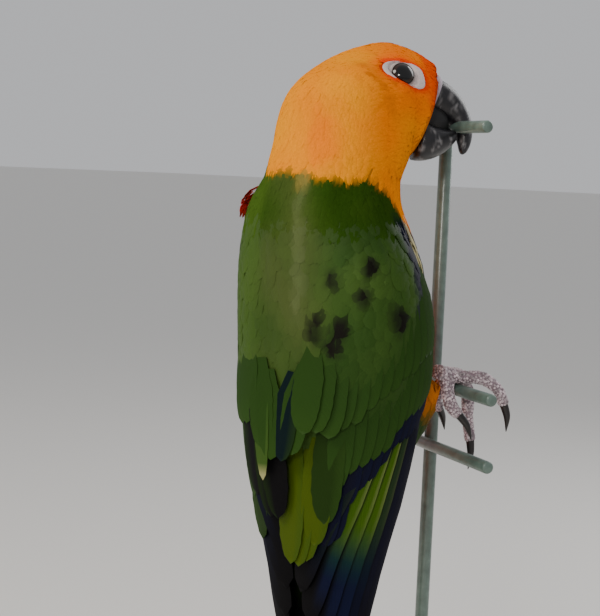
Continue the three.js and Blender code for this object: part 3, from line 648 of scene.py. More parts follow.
# %% Markings of the head
def head_colour(points, wander, fine):
    """Yellow that deepens to orange towards the bill and to red round the eye."""
    forward, left, up = to_head(points)
    gold = blend(fill(YELLOW, points), AMBER, 0.35 + 0.4 * wander + 0.45 * smooth(-16, 2, forward))
    # An orange patch on the nape's right side, and orange towards the face.
    blotch = np.hypot((back_angle(points) - 28) * 0.42, points[:, 2] - 284) + 3 * fine
    gold = blend(gold, ORANGE, 0.45 * smooth(13, 3, blotch))
    gold = blend(gold, ORANGE, 0.35 * smooth(-6, 10, forward) + 0.12 * fine)
    # Red next to the bare skin, and at the forehead over the bill.
    gap = from_eye(points)
    gold = blend(gold, ORANGE, smooth(6.5, 1.2, gap + fine) * 0.7)
    gold = blend(gold, RED, smooth(2.6, 1.0, gap + 0.6 * fine) * 0.9)
    gold = blend(gold, RED, smooth(12.5, 17, forward + 0.7 * fine) * smooth(-7, -2, up) * 0.8)
    # Rusty flecks on the cheek, a band of painted shadow behind the eye, and a yellow throat.
    cheek = np.hypot(forward + 4, (up + 2) * 0.8)
    flecks = smooth(11, 4, cheek) * smooth(0.1, 0.7, ripple(points, FLECK, 4.0))
    gold = blend(gold, RUST, 0.55 * flecks * (abs(left) > 6))
    # A straight band behind the eye is painted rust-dark as painted shadow.
    shadow_band = abs(forward - EYE["forward"] + 13 + 0.46 * (up - EYE["up"])) + 1.2 * fine
    gold = blend(gold, RUST, 0.32 * smooth(4.0, 0.5, shadow_band) * smooth(-16, -9, up) * smooth(9, 5, up))
    return blend(gold, YELLOW, smooth(-6, -13, up) * smooth(-4, 8, forward) * 0.5)


# %% Plumage
def plumage(points):
    """The linear colour of the plumage at each point."""
    z, angle = points[:, 2], back_angle(points)
    wander, fine = ripple(points, BROAD_NOISE), ripple(points, NARROW_NOISE, 2.0)
    collar = along(COLLAR, angle) + 0.8 * wander + 0.7 * fine
    head = head_colour(points, wander, fine)
    colour = blend(body_colour(points, wander, fine), head, smooth(-0.5, 0.5, z - collar))
    # Amber round the thigh, a dun spot where the green meets the yellow, a red tuft on the shoulder.
    ankle_gap = np.linalg.norm(points - THIGH_TUFT, axis=1)
    colour = blend(colour, AMBER, smooth(17, 9, ankle_gap) * 0.7)
    meeting = np.hypot((angle - 16) * 0.4, z - 272) + 0.8 * fine
    colour = blend(colour, DUN, smooth(4.2, 1.5, meeting) * 0.6)
    tuft = smooth(-64, -70, angle) * smooth(-112, -104, angle) * smooth(258, 261, z) * smooth(273, 270, z)
    return blend(colour, RED, tuft)


# The skin is painted at 0.8 of the plumage's colour, as painted shade in the gaps of the coat.
UNDER_COAT_SHADE = 0.8
skin_colours = plumage(skin_points) * UNDER_COAT_SHADE
skin = add_piece("skin", skin_points, skin_faces, skin_material, skin_colours)
print("skin's mean colour:", skin_colours.mean(axis=0).round(3))

# %% [markdown]
# ## Growing the coat
# Small feathers grow at an even spacing. Geometry Nodes could scatter copies of one feather, but each
# has to bend with the body and take its place's colour, so numpy makes them all at once. Places are
# thrown at the skin, and those that aren't too near one already kept are kept.

# %% Scatter
skin_quads = np.array([f if len(f) == 4 else (*f, f[2]) for f in skin_faces])
corner = skin_points[skin_quads]
quad_cross = np.cross(corner[:, 2] - corner[:, 0], corner[:, 3] - corner[:, 1])
quad_area = np.linalg.norm(quad_cross, axis=1) / 2
quad_centre = corner.mean(axis=1)

THROWS = 3.2
AROUND = list(itertools.product((-1, 0, 1), repeat=3))


def scatter(where, spacing, seed):
    """Evenly spaced places on the faces that where() accepts."""
    random = np.random.default_rng(seed)
    weight = quad_area * where(quad_centre)
    tries = int(weight.sum() / spacing**2 * THROWS)
    chosen = random.choice(len(weight), tries, p=weight / weight.sum())
    u, v = random.random((2, tries, 1))
    c = corner[chosen]
    places = (c[:, 0] * (1 - u) + c[:, 1] * u) * (1 - v) + (c[:, 3] * (1 - u) + c[:, 2] * u) * v
    taken, kept = {}, []
    for i, (x, y, z) in enumerate(np.floor(places / spacing).astype(int).tolist()):
        rivals = (j for dx, dy, dz in AROUND for j in taken.get((x + dx, y + dy, z + dz), ()))
        if any(np.sum((places[i] - places[j]) ** 2) < spacing * spacing for j in rivals):
            continue
        taken.setdefault((x, y, z), []).append(i)
        kept.append(i)
    return places[kept]


print("skin's area:", round(quad_area.sum() / 100), "square centimetres")

# %% Lie and settle
CREASE_REACH = 8.0


def lie(points):
    """The way feathers point: back from the bill over the head, then down the body."""
    on_head = smooth(-16, 6, to_head(points)[0]) * smooth(268, 284, points[:, 2])
    flow = -HEAD_FORWARD[None] * on_head[:, None] - UP[None] * (1.05 - on_head)[:, None]
    return unit(flow)


def settle(points):
    """Nearest places on the skin and the outward normals there."""
    places, normals = np.empty_like(points), np.empty_like(points)
    for i, p in enumerate(points):
        places[i], normals[i], _, _ = skin_search.find_nearest(Vector(p))
    return places, normals


def in_open(places, normals):
    """Whether each place on the skin has clear air over it, and isn't inside a crease."""
    return np.array([
        skin_search.ray_cast(Vector(p + n * 0.05), Vector(n), CREASE_REACH)[0] is None
        for p, n in zip(places, normals)
    ])


# %% [markdown]
# Each feather keeps a small patch of a map for baking, at its root's place on an unwrap of the skin's
# own shape, so that neighbours bake beside each other.

# %% Unwraps
PATCH = 0.003
BODY_LOW, BODY_LONG, HEAD_BACK, HEAD_LONG = 130, 190, 34, 60


def body_map(points):
    """An unwrap of the body's own shape: round its axis, and along it."""
    return np.column_stack([back_angle(points) / 360 + 0.5, (points[:, 2] - BODY_LOW) / BODY_LONG])


def head_map(points):
    """An unwrap of the head's own shape: round its axis, and along it."""
    forward, left, up = to_head(points)
    return np.column_stack([np.arctan2(left, up) / (2 * np.pi) + 0.5, (forward + HEAD_BACK) / HEAD_LONG])


# %% [markdown]
# ## One small feather
# Each is a closed thin vane of a few faces. Its rows are laid back onto the skin one by one, so that it
# follows the body's curve and overlaps the next one. Its normals lean out to the sides, which makes
# the coat look silky and not scaly.

# %% Vane shapes
# Rows from root to tip: how far along and how wide. Across and face go round one row.
SLENDER = {"rows": ((0.3, 0.8), (0.62, 1.0), (0.87, 0.66)), "across": (-1, 0, 1, 0), "face": (0, 1, 0, -1)}
BROAD = {
    "rows": ((0.2, 0.72), (0.48, 1.0), (0.74, 0.96), (0.92, 0.6)),
    "across": (-1, -0.45, 0.45, 1, 0.45, -0.45),
    "face": (0, 1, 1, 0, -1, -1),
}
CROWN = 0.035
VANE_THICKNESS = 0.06
ROUNDING = 0.3
SEEN_AT = 0.78
LOFT_AT = 0.6
VARIETY = 0.15


def vane_faces(rings, sides):
    """Faces of one closed vane: a root point, rings, and a tip point."""
    quads, tris, tip = [], [], 1 + rings * sides
    for j in range(sides):
        n = (j + 1) % sides
        tris.append((0, 1 + n, 1 + j))
        quads += [(k + j, k + n, k + sides + n, k + sides + j) for k in range(1, tip - sides, sides)]
        tris.append((tip - sides + j, tip - sides + n, tip))
    return np.array(quads), np.array(tris)


def varied(values, random):
    """Values made up to a seventh longer or shorter."""
    return values * (1 - VARIETY + 2 * VARIETY * random.random(len(values)))


for shape in (SLENDER, BROAD):
    quads, tris = vane_faces(len(shape["rows"]), len(shape["across"]))
    print("one vane's triangles:", 2 * len(quads) + len(tris))

# %% Growing vanes
def vane_rows(base, flow, length, width, rise, sink, shape):
    """Points of every vane, and the outward and sideways parts of their normals."""
    across, face = np.array(shape["across"], float), np.array(shape["face"], float)
    points, outward, sideways = [], [], []
    for share, wide in ((0.0, 0.0), *shape["rows"], (1.0, 0.0)):
        place, there = settle(base + flow * (length * share)[:, None])
        side = unit(np.cross(flow, there))
        height = -sink + (rise + sink) * min(1.0, share / LOFT_AT)
        centre = place + there * height[:, None]
        if wide == 0.0:
            points.append(centre[:, None])
            outward.append(there[:, None])
            sideways.append(np.zeros((len(base), 1, 3)))
            continue
        half = width * wide / 2
        spread = side[:, None] * (half[:, None] * across)[..., None]
        lift = -CROWN * 2 * half[:, None] * across**2 + face * VANE_THICKNESS / 2
        points.append(centre[:, None] + spread + there[:, None] * lift[..., None])
        outward.append(np.repeat(there[:, None], len(across), axis=1))
        sideways.append(side[:, None] * across[None, :, None] * ROUNDING)
    return [np.concatenate(rows, axis=1) for rows in (points, outward, sideways)]


def corner_normals(outward, sideways, face, faces):
    """A normal for each corner: outward on a vane's top, inward on its underside."""
    turn = np.where((face[faces] < 0).any(axis=1), -1.0, 1.0)[None, :, None, None]
    return unit(outward[:, faces] * turn + sideways[:, faces]).reshape(-1, 3)


# %% A piece of the coat
def grow(name, roots, length, width, rise, slot, unwrap, seed, shape, material, spread=7, sink=0.35):
    """A coat piece: one vane for each root. Length, width and rise may be functions of place."""
    random = np.random.default_rng(seed)
    base, normal = settle(roots)
    clear = in_open(base, normal)
    base, normal, count = base[clear], normal[clear], int(clear.sum())
    length, width, rise = [v(base) if callable(v) else np.full(count, v) for v in (length, width, rise)]
    length, width = varied(length, random), varied(width, random)
    rise = rise * (0.7 + 0.6 * random.random(count))
    flow = lie(base)
    flow = unit(flow - normal * np.sum(flow * normal, axis=1)[:, None])
    sway = np.radians(spread) * random.standard_normal(count)
    flow = unit(flow * np.cos(sway)[:, None] + np.cross(normal, flow) * np.sin(sway)[:, None])
    points, outward, sideways = vane_rows(base, flow, length, width, rise, sink, shape)
    per, rings, sides = points.shape[1], len(shape["rows"]), len(shape["across"])
    quads, tris = vane_faces(rings, sides)
    shift = (np.arange(count) * per)[:, None, None]
    faces = [*(quads[None] + shift).reshape(-1, 4), *(tris[None] + shift).reshape(-1, 3)]
    face = np.array([0.0, *np.tile(shape["face"], rings), 0.0])
    normals = np.concatenate([corner_normals(outward, sideways, face, kind) for kind in (quads, tris)])
    shares = np.array([0.0, *np.repeat([row[0] for row in shape["rows"]], sides), 1.0])
    vane = np.column_stack([[0.5, *np.tile(np.array(shape["across"]) / 2 + 0.5, rings), 0.5], shares])
    number = np.column_stack([np.floor(random.random(count) * 40), np.floor(random.random(count) * 40)])
    maps = {
        "OFBake": (unwrap(base)[:, None] + (vane[None] - 0.5) * PATCH).reshape(-1, 2),
        "vane": (vane[None] + number[:, None]).reshape(-1, 2),
    }
    # Half of the colour is the feather's own, half is that of the place under each point.
    own = plumage(base + flow * (length * SEEN_AT)[:, None]) * (0.94 + 0.12 * random.random((count, 1)))
    around = plumage(points.reshape(-1, 3)).reshape(count, per, 3)
    # Each vane is painted a little darker towards its root, as painted shade where the feathers over it cover
    # it.
    colours = ((own[:, None] + around) / 2 * (0.93 + 0.08 * shares)[None, :, None]).reshape(-1, 3)
    print(name, "feathers:", count, "triangles:", count * (len(quads) * 2 + len(tris)))
    add_piece(name, points.reshape(-1, 3), faces, material, colours, maps, normals)


# %% [markdown]
# ## Regions of the coat
# Feathers are smallest round bill and eye and grow longer down the body, as on the real bird. Each
# region is a piece of its own, so that none is too heavy. None grows on the bare patches or under the
# bill's base.

# %% Regions of the coat
def on_face(points):
    forward, _, up = to_head(points)
    return (forward > FACE_FORWARD - 0.6 + up * math.tan(FACE_LEAN)) & (points[:, 2] > 272)


def is_head(points):
    forward, _, _ = to_head(points)
    return (points[:, 2] > 284) & (forward > -22) | (points[:, 2] > 277) & (forward > -4)


def clear_of_eye(points, length):
    """Whether a feather of some length, laid the way feathers point, stays off the bare patch."""
    return from_eye(points + lie(points) * length) > 0


def head_zone(points):
    return is_head(points) & (from_eye(points) > 0.1) & clear_of_eye(points, 1.6) & ~on_face(points)


def face_length(points):
    return np.where(clear_of_eye(points, 4.0), 4.0, 2.0)


def neck_zone(points):
    return ~is_head(points) & (points[:, 2] > 262)


def back_zone(points):
    return (points[:, 2] <= 266) & (abs(back_angle(points)) < 124) & (points[:, 2] > 150)


def belly_zone(points):
    return (points[:, 2] <= 266) & (abs(back_angle(points)) >= 118) & (points[:, 2] > 150)


def shoulder_zone(points):
    angle = back_angle(points)
    return (abs(points[:, 2] - 268) < 3) & (angle < -70) & (angle > -104)


def lower(points):
    return smooth(262, 205, points[:, 2])


# %% The coat
down = {"slot": "orange_feather", "shape": SLENDER, "material": down_material}
contour = {"unwrap": body_map, "shape": BROAD, "material": coat_material}
head_roots = scatter(head_zone, 0.52, 1)
in_front = to_head(head_roots)[0] > 1
on_skull = {"rise": 0.2, "sink": 0.2, "unwrap": head_map, **down}
grow("coat_face", head_roots[in_front], face_length, 1.25, seed=11, **on_skull)
grow("coat_crown", head_roots[~in_front], 5.2, 1.6, seed=12, **on_skull)
neck_roots = scatter(neck_zone, 0.8, 2)
grow("coat_neck", neck_roots, 8.6, 2.3, rise=0.28, sink=0.25, unwrap=body_map, seed=13, **down)
grow(
    "coat_back",
    scatter(back_zone, 1.75, 3),
    length=lambda places: 10 + 5 * lower(places),
    width=lambda places: 4.4 + 2.9 * lower(places),
    rise=lambda places: 0.32 + 0.2 * lower(places),
    slot="green_feather",
    seed=14,
    **contour,
)
belly_roots, shoulder_roots = scatter(belly_zone, 1.7, 4), scatter(shoulder_zone, 1.1, 6)
grow("coat_belly", belly_roots, 9.5, 3.1, rise=0.6, slot="orange_feather", seed=15, **contour)
grow("coat_shoulder", shoulder_roots, 7.5, 3.0, rise=2.6, slot="orange_feather", seed=16, spread=9, **contour)

# %% [markdown]
# ## Flight feathers
# A flight feather has a stiff shaft and two vanes of barbs. The outer vane is narrow and coloured, the
# inner one is wide and dark. A card with an image would look flat from the side, so each is a closed
# plate of many faces, with a ridge for the shaft, a soft crown and an edge that is uneven here and
# there, where the barbs' hooks have let slip.

# %% Shape of a long feather
FLIGHT_ROWS, FLIGHT_COLUMNS = 18, 8
ROW_SHARES = np.linspace(0, 1, FLIGHT_ROWS) ** 0.85
SHAFT_AT, SHAFT_HEIGHT, SHAFT_WIDTH = 0.32, 0.12, 0.05
# A plate's underside is painted at 0.45 of its top's colour, as painted shade.
HALF_THICKNESS, UNDERSIDE_SHADE = 0.1, 0.45
SLIP = 0.04


def plume_width(s, round_tip):
    """The vane's width from root to tip, rounded off beyond round_tip."""
    swell = np.minimum(1, 0.42 + 1.6 * s)
    tip = np.sqrt(np.clip(1 - ((s - round_tip) / (1.0 - round_tip)) ** 2, 0, 1))
    return swell * np.where(s < round_tip, 1.0, tip)


def plate_faces(rows, columns):
    """Faces of a closed plate: a grid of points on top, then the same grid underneath."""
    faces, size = [], rows * columns
    for k in range(rows - 1):
        for j in range(columns - 1):
            a = k * columns + j
            faces.append((a, a + 1, a + columns + 1, a + columns))
            faces.append((size + a, size + a + columns, size + a + columns + 1, size + a + 1))
        a, b = k * columns, k * columns + columns - 1
        faces.append((a, a + columns, size + a + columns, size + a))
        faces.append((b, size + b, size + b + columns, b + columns))
    for a in range(columns - 1):
        b = (rows - 1) * columns + a
        faces.append((a, size + a, size + a + 1, a + 1))
        faces.append((b, b + 1, size + b + 1, size + b))
    return faces


def squared(spine, normals):
    """The way a spine runs at each point, and its normals turned square to that."""
    tangent = unit(np.gradient(spine, axis=0))
    return tangent, unit(normals - tangent * np.sum(normals * tangent, axis=1)[:, None])


# %% One long feather
def plume(spine, normals, outer, inner, paint, random, round_tip, side_sign, crown=0.05):
    """One long feather. Columns run from the outer edge to the inner edge."""
    s = ROW_SHARES
    tangent, normals = squared(spine, normals)
    side = np.cross(tangent, normals) * side_sign
    share = np.linspace(0, 1, FLIGHT_COLUMNS + 1)
    reach = np.where(share < SHAFT_AT, -(1 - share / SHAFT_AT), (share - SHAFT_AT) / (1 - SHAFT_AT))
    slip = 1 + SLIP * np.sin(np.arange(FLIGHT_ROWS) * 2.4 + random.random() * 6) * random.random()
    width = plume_width(s, round_tip) * slip
    offset = (reach * np.where(reach < 0, outer, inner))[None] * width[:, None]
    bow = crown * (1 - reach**2) * min(outer, inner)
    ridge = np.where(abs(reach) < SHAFT_WIDTH, SHAFT_HEIGHT, 0)
    lift = bow[None] * width[:, None] + ridge[None] * (1 - s)[:, None]
    centre = spine[:, None] + side[:, None] * offset[..., None]
    top, low = [
        (centre + normals[:, None] * (lift + half)[..., None]).reshape(-1, 3)
        for half in (HALF_THICKNESS, -HALF_THICKNESS)
    ]
    faces = plate_faces(FLIGHT_ROWS, FLIGHT_COLUMNS + 1)
    if side_sign < 0:
        faces = [face[::-1] for face in faces]
    grid_s, grid_a = np.meshgrid(s, share, indexing="ij")
    colour = paint(grid_s.ravel(), np.tile(reach, FLIGHT_ROWS))
    vane = np.column_stack([grid_a.ravel(), grid_s.ravel() + np.floor(random.random() * 30)])
    bend = unit(normals[:, None] + side[:, None] * (reach * crown * 3)[None, :, None]).reshape(-1, 3)
    doubled = [(top, low), (colour, colour * UNDERSIDE_SHADE), (vane, vane), (bend, -bend)]
    points, colours, local, shading = [np.concatenate(pair) for pair in doubled]
    return points, faces, colours, local, shading


def gather(name, plumes, replaced):
    """Joins long feathers into the one piece that takes a CAD node's place."""
    points, faces = joined([one[:2] for one in plumes])
    colours, local, normals = [np.concatenate([one[i] for one in plumes]) for i in (2, 3, 4)]
    roots = np.concatenate([fill(one[0][0], one[0]) for one in plumes])
    patch = body_map(roots) + (np.column_stack([local[:, 0], local[:, 1] % 1]) - 0.5) * PATCH
    maps = {"OFBake": patch, "vane": local}
    made = add_piece(name, points, faces, flight_material, colours, maps, normals)
    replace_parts(made, replaced)
    print(name, "long feathers:", len(plumes), "faces:", len(faces))


# %% [markdown]
# ## Wing feathers
# Long primaries make the folded wing's point and shorter rows cover their roots. Each feather's tip is
# read off a table of the row's lower edge, taken from the photograph's outline of that row, and its
# root is tucked under the row above. Copies of one feather could not follow the edges so closely.

# %% Rows of the wing
PRIMARIES, COLUMNS = 9, 17
FIRST_ANGLE, LAST_ANGLE = 4, 122
# Heights of the feather tips by angle: the dark band, the green edge over it and the coverts.
BAND_EDGE = [(30, 158), (41, 162), (50, 176), (62, 181), (75, 190), (90, 194), (105, 198), (122, 203)]
GREEN_EDGE = [
    (0, 155), (7, 152), (16, 154), (26, 159), (33, 166), (39, 177), (54, 186),
    (70, 191), (77, 197), (95, 203), (110, 205), (125, 208),
]
COVERT_EDGE = [
    (0, 186), (10, 188), (20, 196), (35, 195), (45, 199), (60, 206), (80, 214), (100, 219), (122, 222),
]
# Rows from below upwards: edge, length, lift, first and last angle.
ROWS = [(BAND_EDGE, 36, -2.6, 30, 122), (GREEN_EDGE, 40, -1.7, 0, 122), (COVERT_EDGE, 28, -1.3, 0, 108)]
ROW_TILT, OUTER_TILT = 7, 6
BLACK, TEAL, BLUE, LIME, BROWN = [linear(c) for c in ("#060507", "#08262b", "#0a102c", "#39570c", "#0f0b08")]
# How green each primary's outer web is, from the innermost to the outermost.
WEB_GREEN = (0.0, 0.1, 0.95, 1.0, 1.0, 0.3, 0.0, 0.0, 0.0)
LIME_ENDS = 164
LEFT_TERTIAL_RISE, LEFT_STRIP_DROP = 14, 9
ROOT_DEPTH = 3.0
# Angles where the midline's feather, the tertials and the broad inner feathers end.
MIDLINE_ENDS, TERTIALS_END, INNER_END = 8, 28, 38
# On the left wing a gap between two rows of feathers is painted black and brown as painted shadow.
SHADED_GAP_ANGLES, SPEAR_ROOT, SPEAR_TIP = (18, 26), (15, 214, -4.5), (10, 179, 0.4)


def wing_spine(side, root, tip, tilt):
    """Points and tilted normals from a root to a tip, each given as angle, height and lift."""
    degrees, z, lift = [root[i] + (tip[i] - root[i]) * ROW_SHARES for i in range(3)]
    points, normals = on_wing(side, degrees, z, lift)
    tangent, normals = squared(points, normals)
    angle = math.radians(tilt) * side
    return points, normals * math.cos(angle) + np.cross(tangent, normals) * math.sin(angle)


def in_shaded_gap(side, degrees):
    return side < 0 and SHADED_GAP_ANGLES[0] < degrees < SHADED_GAP_ANGLES[1]


print("rows over the primaries:", len(ROWS))

# %% [markdown]
# A paint is a function that colours a feather. It is given how far along each point lies, 0 at the
# root and 1 at the tip, and how far across: -1 at the outer edge, 0 at the shaft and 1 inside.

# %% Paints of the wing feathers
def primary_paint(index, green, lime_share):
    """Black inside. Outside lime at the root, then teal and blue, as strongly as green says."""
    dark = BROWN if index > 5 else BLACK

    def paint(s, reach):
        web = blend(fill(BLACK, s), BLUE, smooth(0.95, 0.75, s))
        web = blend(web, TEAL, smooth(lime_share + 0.22, lime_share + 0.1, s))
        web = blend(web, LIME, smooth(lime_share + 0.14, lime_share - 0.06, s))
        colour = blend(fill(dark, s), BLUE, smooth(0.2, -0.3, reach) * 0.5 * smooth(0.95, 0.5, s))
        colour = blend(colour, web, smooth(0.15, -0.05, reach) * green)
        rim = smooth(-0.9, -0.99, reach) * smooth(lime_share + 0.1, 0.2, s)
        return blend(colour, PALE, rim * green * 0.12)

    return paint


def plain_paint(colour, edge, amount):
    """One colour with a second one along the outer edge."""

    def paint(s, reach):
        return blend(fill(colour, s), edge, smooth(-0.2, -0.9, reach) * amount)

    return paint


def covert_paint(s, reach):
    colour = blend(fill(COVERT, s), GREEN, 0.6 * smooth(0.6, 1.0, s))
    return blend(colour, GREEN_DEEP, 0.25 * smooth(0.7, 0.1, s))


def spear_paint(s, reach):
    colour = blend(fill(GREEN, s), GREEN_LIGHT, 0.4 * smooth(0.3, 0.8, s))
    return blend(colour, PALE, 0.4 * smooth(0.84, 0.98, s))


def row_paint(side, level, degrees):
    """The paint of one feather by its row and place."""
    # Feathers in the left wing's gap are painted black and brown, as painted shadow.
    if level > 0 and in_shaded_gap(side, degrees):
        return plain_paint(BLACK, BROWN, 0.5)
    if side < 0 and level == 1 and degrees < TERTIALS_END:
        return plain_paint(BLACK, GREEN_DEEP, 0.5)
    if level == 0:
        return plain_paint(BLUE_BLACK, BLUE, 0.5)
    if level == 1 and degrees < TERTIALS_END:
        return plain_paint(OLIVE, GREEN, 0.4)
    if level == 1 and degrees < INNER_END:
        return plain_paint(GREEN_DEEP, GREEN, 0.5)
    if level == 2 and degrees < MIDLINE_ENDS and side > 0:
        return plain_paint(TEAL * 0.35, GREEN_DEEP, 0.7)
    return covert_paint


# %% Wing feathers
def primary_plume(side, i, random):
    """One of the long flight feathers, counted from the innermost."""
    t = i / (PRIMARIES - 1)
    tip_z = 154 - 49 * math.sin(t * math.pi / 1.75)
    root = (56 + 62 * t, 196 + 10 * t, -4.2 - 0.4 * t)
    tip = (3 + 91 * t**1.3, tip_z, -3.0 - t)
    spine, normals = wing_spine(side, root, tip, ROW_TILT + 6 + OUTER_TILT * t)
    green = WEB_GREEN[i] if side > 0 or i > 3 else 0.0
    paint = primary_paint(i, green, (root[1] - LIME_ENDS) / (root[1] - tip_z))
    return plume(spine, normals, 3.4, 5.6, paint, random, 0.8, side)


def row_plume(side, level, degrees, random):
    """One feather of a row, with its tip on the row's edge."""
    edge, length, lift, _, _ = ROWS[level]
    t, inner, gap = degrees / LAST_ANGLE, degrees < INNER_END, in_shaded_gap(side, degrees)
    tip_z = float(along(edge, degrees)) + random.uniform(-0.8, 0.8)
    if side < 0 and level == 1:
        strip_drop = LEFT_STRIP_DROP * float(smooth(60, 45, degrees))
        tip_z += LEFT_TERTIAL_RISE if degrees < TERTIALS_END else -strip_drop
    root_z = tip_z + length * (0.6 if degrees > 108 else 1)
    root_lift = float(along(PAD_LIFT, root_z)) - ROOT_DEPTH - 2.5 * gap
    tip = (degrees, tip_z, lift - 1.2 * t + 0.5 * inner)
    root = (degrees + 0.1 * (60 - degrees), root_z, root_lift)
    spine, normals = wing_spine(side, root, tip, ROW_TILT + OUTER_TILT * t)
    wide = 3.0 if gap else 5.6 if inner else 4.5
    return plume(spine, normals, wide * 0.8, wide, row_paint(side, level, degrees), random, 0.62, side, 0.03)


def wing_plumes(side, seed):
    """Every long feather of one wing."""
    random = np.random.default_rng(seed)
    plumes = [primary_plume(side, i, random) for i in range(PRIMARIES)]
    for level, (_, _, _, first, last) in enumerate(ROWS):
        for degrees in np.linspace(FIRST_ANGLE, LAST_ANGLE, COLUMNS):
            if first <= degrees <= last:
                plumes.append(row_plume(side, level, degrees, random))
    if side < 0:
        spine, normals = wing_spine(side, SPEAR_ROOT, SPEAR_TIP, 0)
        plumes.append(plume(spine, normals, 3.6, 3.8, spear_paint, random, 0.35, side, 0.03))
    return plumes


for name, side, seed in (("right", 1, 11), ("left", -1, 23)):
    gather("wing_feathers_" + name, wing_plumes(side, seed), "wing_" + name)
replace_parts(skin, "torso", "neck", "head", "thigh_right", "thigh_left")

# %% [markdown]
# ## Tail
# The tail is six pairs of long graded feathers, laid like a closed fan, with short coverts over and
# under their roots. The layers are closest at the tip, as a still bird holds them.

# %% Tail feathers
TAIL_TOP, TAIL_PAIRS, TAIL_TIP_Z, TAIL_LAYER, TAIL_ROOT_Z = 149.7, 6, 23, 0.85, 144
TAIL_CLOSING, TAIL_LEAN = 0.8, 0.03
# Coverts over the tail, then those under it: facing, height of the lowest tip and depth.
TAIL_COVERTS, COVERT_ROOT_Z, COVERT_STEP = [(-1, 110, 6.9), (1, 92, 6.9)], 157, 2.6
TAIL_GREEN, UNDER_GREEN = linear("#33491a"), linear("#3c4a30")


def tail_paint(s, reach):
    """Green at the root, then teal and blue, with a dark inner web."""
    colour = blend(fill(TAIL_GREEN, s), TEAL, smooth(0.2, 0.5, s))
    colour = blend(colour, BLUE, smooth(0.5, 0.8, s))
    return blend(colour, BLACK, smooth(0.1, 0.7, reach) * 0.5)


def upper_paint(s, reach):
    return blend(fill(GREEN_DEEP, s), BLACK, smooth(0.1, 0.5, s))


def under_paint(s, reach):
    return blend(fill(UNDER_GREEN, s), FLAME, smooth(0.7, 0.2, s) * 0.5)


def tail_plume(x, depth, z, outer, inner, paint, random, side, face):
    spine = np.column_stack([x, -1 + depth + (TAIL_TOP - z) * TAIL_LEAN, z]) + BODY_AXIS
    normals = fill(np.array([0.0, face, 0.0]), z)
    return plume(spine, normals, outer, inner, paint, random, 0.7, -side * face)


def tail_plumes(seed):
    """The tail's pairs from the middle outwards, then its upper and under coverts."""
    random = np.random.default_rng(seed)
    plumes, s = [], ROW_SHARES
    for pair, side in itertools.product(range(TAIL_PAIRS), (1, -1)):
        t, on_left = pair / (TAIL_PAIRS - 1), side < 0
        tip_z = TAIL_TIP_Z + 66 * t**1.15 + 1.5 * on_left
        x = side * (1.8 + 1.6 * t + (1.4 + 3.6 * t) * s)
        depth = (-4.6 + (2 * pair + on_left) * TAIL_LAYER) * (1 - TAIL_CLOSING * s)
        z = TAIL_ROOT_Z + (tip_z - TAIL_ROOT_Z) * s
        plumes.append(tail_plume(x, depth, z, 5.0 - t, 7.2 - 1.6 * t, tail_paint, random, side, -1))
    for (face, lowest, depth), index in itertools.product(TAIL_COVERTS, range(-3, 4)):
        level, side = abs(index), -1 if index < 0 else 1
        z = COVERT_ROOT_Z + (lowest + 3.5 * level - COVERT_ROOT_Z) * s
        x = np.full(FLIGHT_ROWS, index * COVERT_STEP)
        lift = face * (depth - 0.5 * level) * (0.75 + 0.25 * smooth(0, 0.3, s))
        paint = upper_paint if face < 0 else under_paint
        plumes.append(tail_plume(x, lift, z, 3.8, 4.4, paint, random, side, face))
    return plumes


gather("tail_feathers", tail_plumes(5), "tail")

# %% [markdown]
# ## Bare skin, horn and other grained surfaces
# Skin, horn, enamel and wood each have a fine grain that a close look finds. A photographed texture
# would carry its own light and repeat, so one noise, as coarse as the real grain, varies colour and
# height together.

# %% Materials of the bare parts
GRAIN_DEPTH = 0.3


def grained_material(name, colour, roughness, grain, strength, contrast=0.12, stretch=(1, 1, 1), coat=0.0):
    """One colour, or the point colours, varied and raised by a noise of a grain in millimetres."""
    made, tree, shader = new_material(name, Roughness=roughness, Coat_Weight=coat, Coat_Roughness=0.2)
    place = node(tree, "ShaderNodeTexCoord").outputs["Object"]
    spread = node(tree, "ShaderNodeMapping", values={"Scale": stretch}, links={"Vector": place}).outputs[0]
    noise = node(
        tree,
        "ShaderNodeTexNoise",
        values={"Scale": 1 / (grain * MM), "Detail": 4.0},
        links={"Vector": spread},
    ).outputs["Fac"]
    if colour is None:
        base = node(tree, "ShaderNodeAttribute", {"attribute_name": "plumage"}).outputs["Color"]
    else:
        base = node(tree, "ShaderNodeRGB").outputs[0]
        base.default_value = rgba(colour)
    roughen(tree, shader, base, noise, (1 - contrast, 1 + contrast), strength, GRAIN_DEPTH)
    return made


# Bare skin is matt and finely pebbled. A grain of about half a millimetre keeps it from looking waxy.
bare_material = grained_material("bare eye skin", None, 0.6, grain=0.625, strength=0.5, contrast=0.08)
# A living cornea is a wet, clear dome: a sharp highlight over a dark iris.
eye_material = grained_material("wet eye", None, 0.04, grain=1.667, strength=0.0, contrast=0.02)
# Bill horn is smooth black keratin with pale worn scuffs where it grips.
horn_material = grained_material("bill horn", None, 0.38, grain=2.381, strength=0.35, contrast=0.2)
# Claw horn is dark and half glossy, so that each claw shows one soft highlight.
claw_material = grained_material("claw horn", "#1c1716", 0.3, grain=2.0, strength=0.2, contrast=0.2)
# The mouth's lining is a parrot's black, damp skin, which lets the gape read as a deep shade.
mouth_material = grained_material("mouth lining", "#0b0a0b", 0.6, grain=2.0, strength=0.2)
print("grained materials:", bare_material.name, eye_material.name, horn_material.name, claw_material.name)

# %% [markdown]
# ## Eyes
# A parrot's eye is a wet dark ball in a ring of bare skin. A whole ball could be pushed into the skin,
# but only its front shows, so it is a half ball closed behind. Its iris and pupil are colours by
# distance from the middle.

# %% Eyeballs
EYE_RINGS, EYE_SIDES, EYE_BACK = 22, 40, 3.0
SCLERA, IRIS, PUPIL = linear("#0a0606"), linear("#241208"), linear("#020202")


